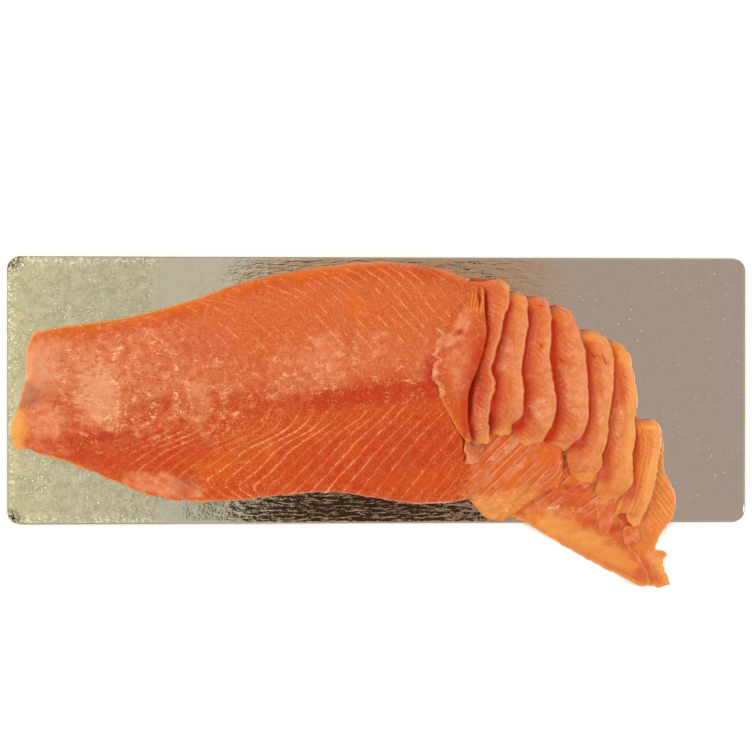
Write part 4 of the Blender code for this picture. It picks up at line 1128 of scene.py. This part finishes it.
# Half-lifted slice ---------------------------------------------------------------------------
# The last slice cut, still joined to the side above: it feathers out to the left in wet torn
# fingers, and its right edge curls over the cut face, where thin yellow layers fan out.
FLAP_LEFT = [(73, 58), (67, 56), (60, 54), (52, 48), (47, 45), (43.5, 42), (40, 38), (36, 40.5), (31, 37),
             (24, 35), (16, 36.5), (10, 35), (4, 37.5), (-3, 39), (-14, 45), (-24, 50), (-34, 57)]
FLAP_TOP, FLAP_BOTTOM = 72.5, -34.5
TORN_TOP, TORN_BOTTOM = 46, -8
REACH_STEPS, CURL_STEPS, TUCK_STEPS = 60, 14, 8
CURL_END = 0.78 * math.pi


def torn_share(y):
    """How far the left edge is torn at each place, from 0 at its ends to 1."""
    return ramp(TORN_TOP - y, 0, 6) * ramp(y, TORN_BOTTOM, 0)


flap_y = FLAP_TOP + (FLAP_BOTTOM - FLAP_TOP) * spread(230, 0.15)
bend = ROLL - SLICE_THICK / 2
turn = np.linspace(0.2, CURL_END, CURL_STEPS)[:, None]
curl = bend * np.hstack([np.sin(turn), np.cos(turn)])
tuck = np.linspace(0.6, 6.5, TUCK_STEPS)[:, None] * [math.cos(CURL_END), -math.sin(CURL_END)]
# Each line runs over the top of the side, round the roll and a little way back under it.
flap_lines = []
for at_y in flap_y:
    edge, left = smooth(FLAP_EDGE, at_y), smooth(FLAP_LEFT, at_y)
    left += torn_share(at_y) * (2.4 * grain(at_y, 0.0, 3.4, 81) + 1.3 * grain(at_y, 5.0, 1.5, 82))
    turn_x = edge - ROLL
    reach = np.linspace(left, turn_x, REACH_STEPS)
    bow = np.sin(math.pi * np.clip((reach - left) / (turn_x - left), 0, 1)) ** 1.5
    upper = side_top(reach, at_y, sliced=False) + 1.1 * ramp(reach - left, 0.0, 9.0) - 0.15
    upper = upper + bow * torn_share(at_y)
    arc = np.array([turn_x, upper[-1] - bend]) + curl
    flap_lines.append(np.concatenate([np.column_stack([reach, upper]), arc, arc[-1] + tuck]))
flap_lines = np.array(flap_lines)
normal, flap_x = normals(flap_lines), flap_lines[..., 0]
into = flap_x - flap_lines[:, :1, 0]
into[:, REACH_STEPS:] = into[:, REACH_STEPS - 1:REACH_STEPS]
from_end = rounded(np.minimum(FLAP_TOP + 0.3 - flap_y, flap_y - FLAP_BOTTOM + 0.3), 4.0)[:, None]
torn = torn_share(flap_y)[:, None]
half = (0.1 + 0.1 * torn + (SLICE_THICK / 2 - 0.1) * ramp(into, 0, 12)) * (0.25 + 0.75 * from_end)
flap_down = np.broadcast_to(flap_y[:, None], into.shape)
layers = blots(flap_x, flap_down, [(62.5, 59, 5, 10, 8, 1.0)])
fan = np.cos(2 * math.pi * (flap_x - 0.12 * flap_down + 0.7 * grain(flap_x, flap_down / 3, 3.0, 86)) / 2.3)
opening = blots(flap_x, flap_down, [(65.6, 61.5, 1.3, 5, -4, 1.0)])
hollow = blots(flap_x, flap_down, [(52, 38, 4, 2, 30, 1.0)])
ragged = torn * (1 - ramp(into, 0.5, 6.5))
ripple = (from_end * ramp(into, 1, 8) * (0.5 * grain(into, flap_down * 0.6, 8.0, 83)
                                         + 0.14 * grain(into, flap_down, 2.4, 84))
          + 0.35 * layers * fan - 1.6 * opening - 0.8 * hollow
          + ragged * (0.45 * grain(flap_x, flap_down, 1.7, 85) + 0.15))
outer = flap_lines + normal * (half + ripple)[..., None]
inner = flap_lines - normal * half[..., None]
number = line_number(BACK_LINES, flap_x, flap_down)
shaded = (1 - ramp(smooth(FLAP_EDGE, flap_down) - flap_x, 0.0, 12.0)) * ramp(TORN_TOP - flap_down, 0, 20)
flap_masks = {
    'line': number, 'pitch': 7.0, 'show': 0.35 * ramp(flap_down, 30, 48) * (1 - layers),
    'sliver': np.maximum(1 - ramp(into, 2.0, 8.0), 1 - from_end), 'thin': 0.45 * ramp(into, 0, 10),
    'across': LINE_SPACING * number, 'down': flap_down,
    'wet': np.maximum(0.9 * ragged, blots(flap_x, flap_down, [
        (54, 14, 12, 18, 20, 0.45), (46, 34, 8, 6, 0, 0.9), (55, 46, 9, 6, 50, 0.8)])),
    'fleck': np.maximum(0.9 * ragged, 0.2),
    # Painted shade: deep red in the opening and the hollow, and on the roll near the right edge.
    'deep': np.maximum.reduce([opening, 0.75 * shaded, blots(flap_x, flap_down, [
        (64, 20, 4, 16, -14, 0.5), (51.5, 38.5, 4, 1.8, 30, 0.9)])]),
    'amber': np.maximum.reduce([0.8 * layers * (0.5 - 0.5 * fan), opening,
                                blots(flap_x, flap_down, [(52, -18, 5, 14, -20, 0.6)])]),
    'rim': np.maximum.reduce([0.7 * layers * np.clip(fan, 0, 1), blots(flap_x, flap_down, [
        (68.5, 60, 1.5, 12, 0, 0.5), (60, -32, 4, 5, 0, 0.6)]),
        0.4 * (1 - ramp(into, 0.3, 2.0)) * ramp(-flap_down, 0, 8)])}
flap = two_sided('half_lifted_slice', standing(outer, flap_down), standing(inner, flap_down), flap_masks)
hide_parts('slice_0')


# Small torn pieces ---------------------------------------------------------------------------
# Scraps 1 to 1.4 mm thick that came off with the knife and lie on the slices below them. They
# are wet and pale, with torn edges that show a thin yellow rim.
def scrap(name, node, edges, underside, thick, looks, seed):
    """Scrap inside its north, south, west and east edges.

    `looks` is its wetness, how much that varies, how yellow its rim is and how far the rim
    is solid, how thin it looks, and the seed of its wetness.
    """
    wetness_and_sheen, swing, yellow, solid, thin, wet_seed = looks

    def masks(x, y, rim):
        return {'wet': wetness_and_sheen + swing * grain(x, y, 4, wet_seed), 'thin': thin, 'across': x, 'down': y,
                'rim': yellow * (1 - ramp(rim, solid, 1.2))}

    sheet(name, node, patch(*edges, spread(34), spread(44)), underside,
          lambda x, y: thick + 0.45 * grain(x, y, 2.4, seed), masks, ragged=1.0, slope=1.8, seed=seed)


def on_belly_2(x, y):
    """Height of the upper face of the right belly end, a little sunk in."""
    return belly_2_underside(x, y) + BELLY_THICK - 0.8


scrap('torn_tab', 'scrap_tab',
      ([(56, -34.5), (63, -34), (71, -36)], [(57.5, -48), (62, -49.5), (66, -48)],
       [(56, -34.5), (56.5, -42), (57.5, -48)], [(71, -36), (70, -42), (66, -48)]),
      lambda x, y: side_top(x, y) + 1.2, 1.0, (0.45, 0.4, 0.2, 0.3, 0.8, 93), 91)
scrap('torn_tongue', 'scrap_tongue',
      ([(146, -75), (152, -73), (161, -76)], [(149.5, -97.5), (152, -98.5), (154.5, -97)],
       [(146, -75), (147.5, -84), (149, -92), (149.5, -97.5)],
       [(161, -76), (160, -85), (156.5, -92), (154.5, -97)]),
      on_belly_2, 1.4, (0.25, 0.5, 0.25, 0.2, 0.9, 97), 95)
scrap('torn_corner', 'scrap_corner',
      ([(165, -94), (170, -92.5), (176, -95)], [(167, -104), (172, -103), (177, -105)],
       [(165, -94), (165.5, -99), (167, -104)], [(176, -95), (175, -99), (177, -105)]),
      on_belly_2, 1.1, (0.3, 0.5, 0.25, 0.2, 0.8, 98), 99)
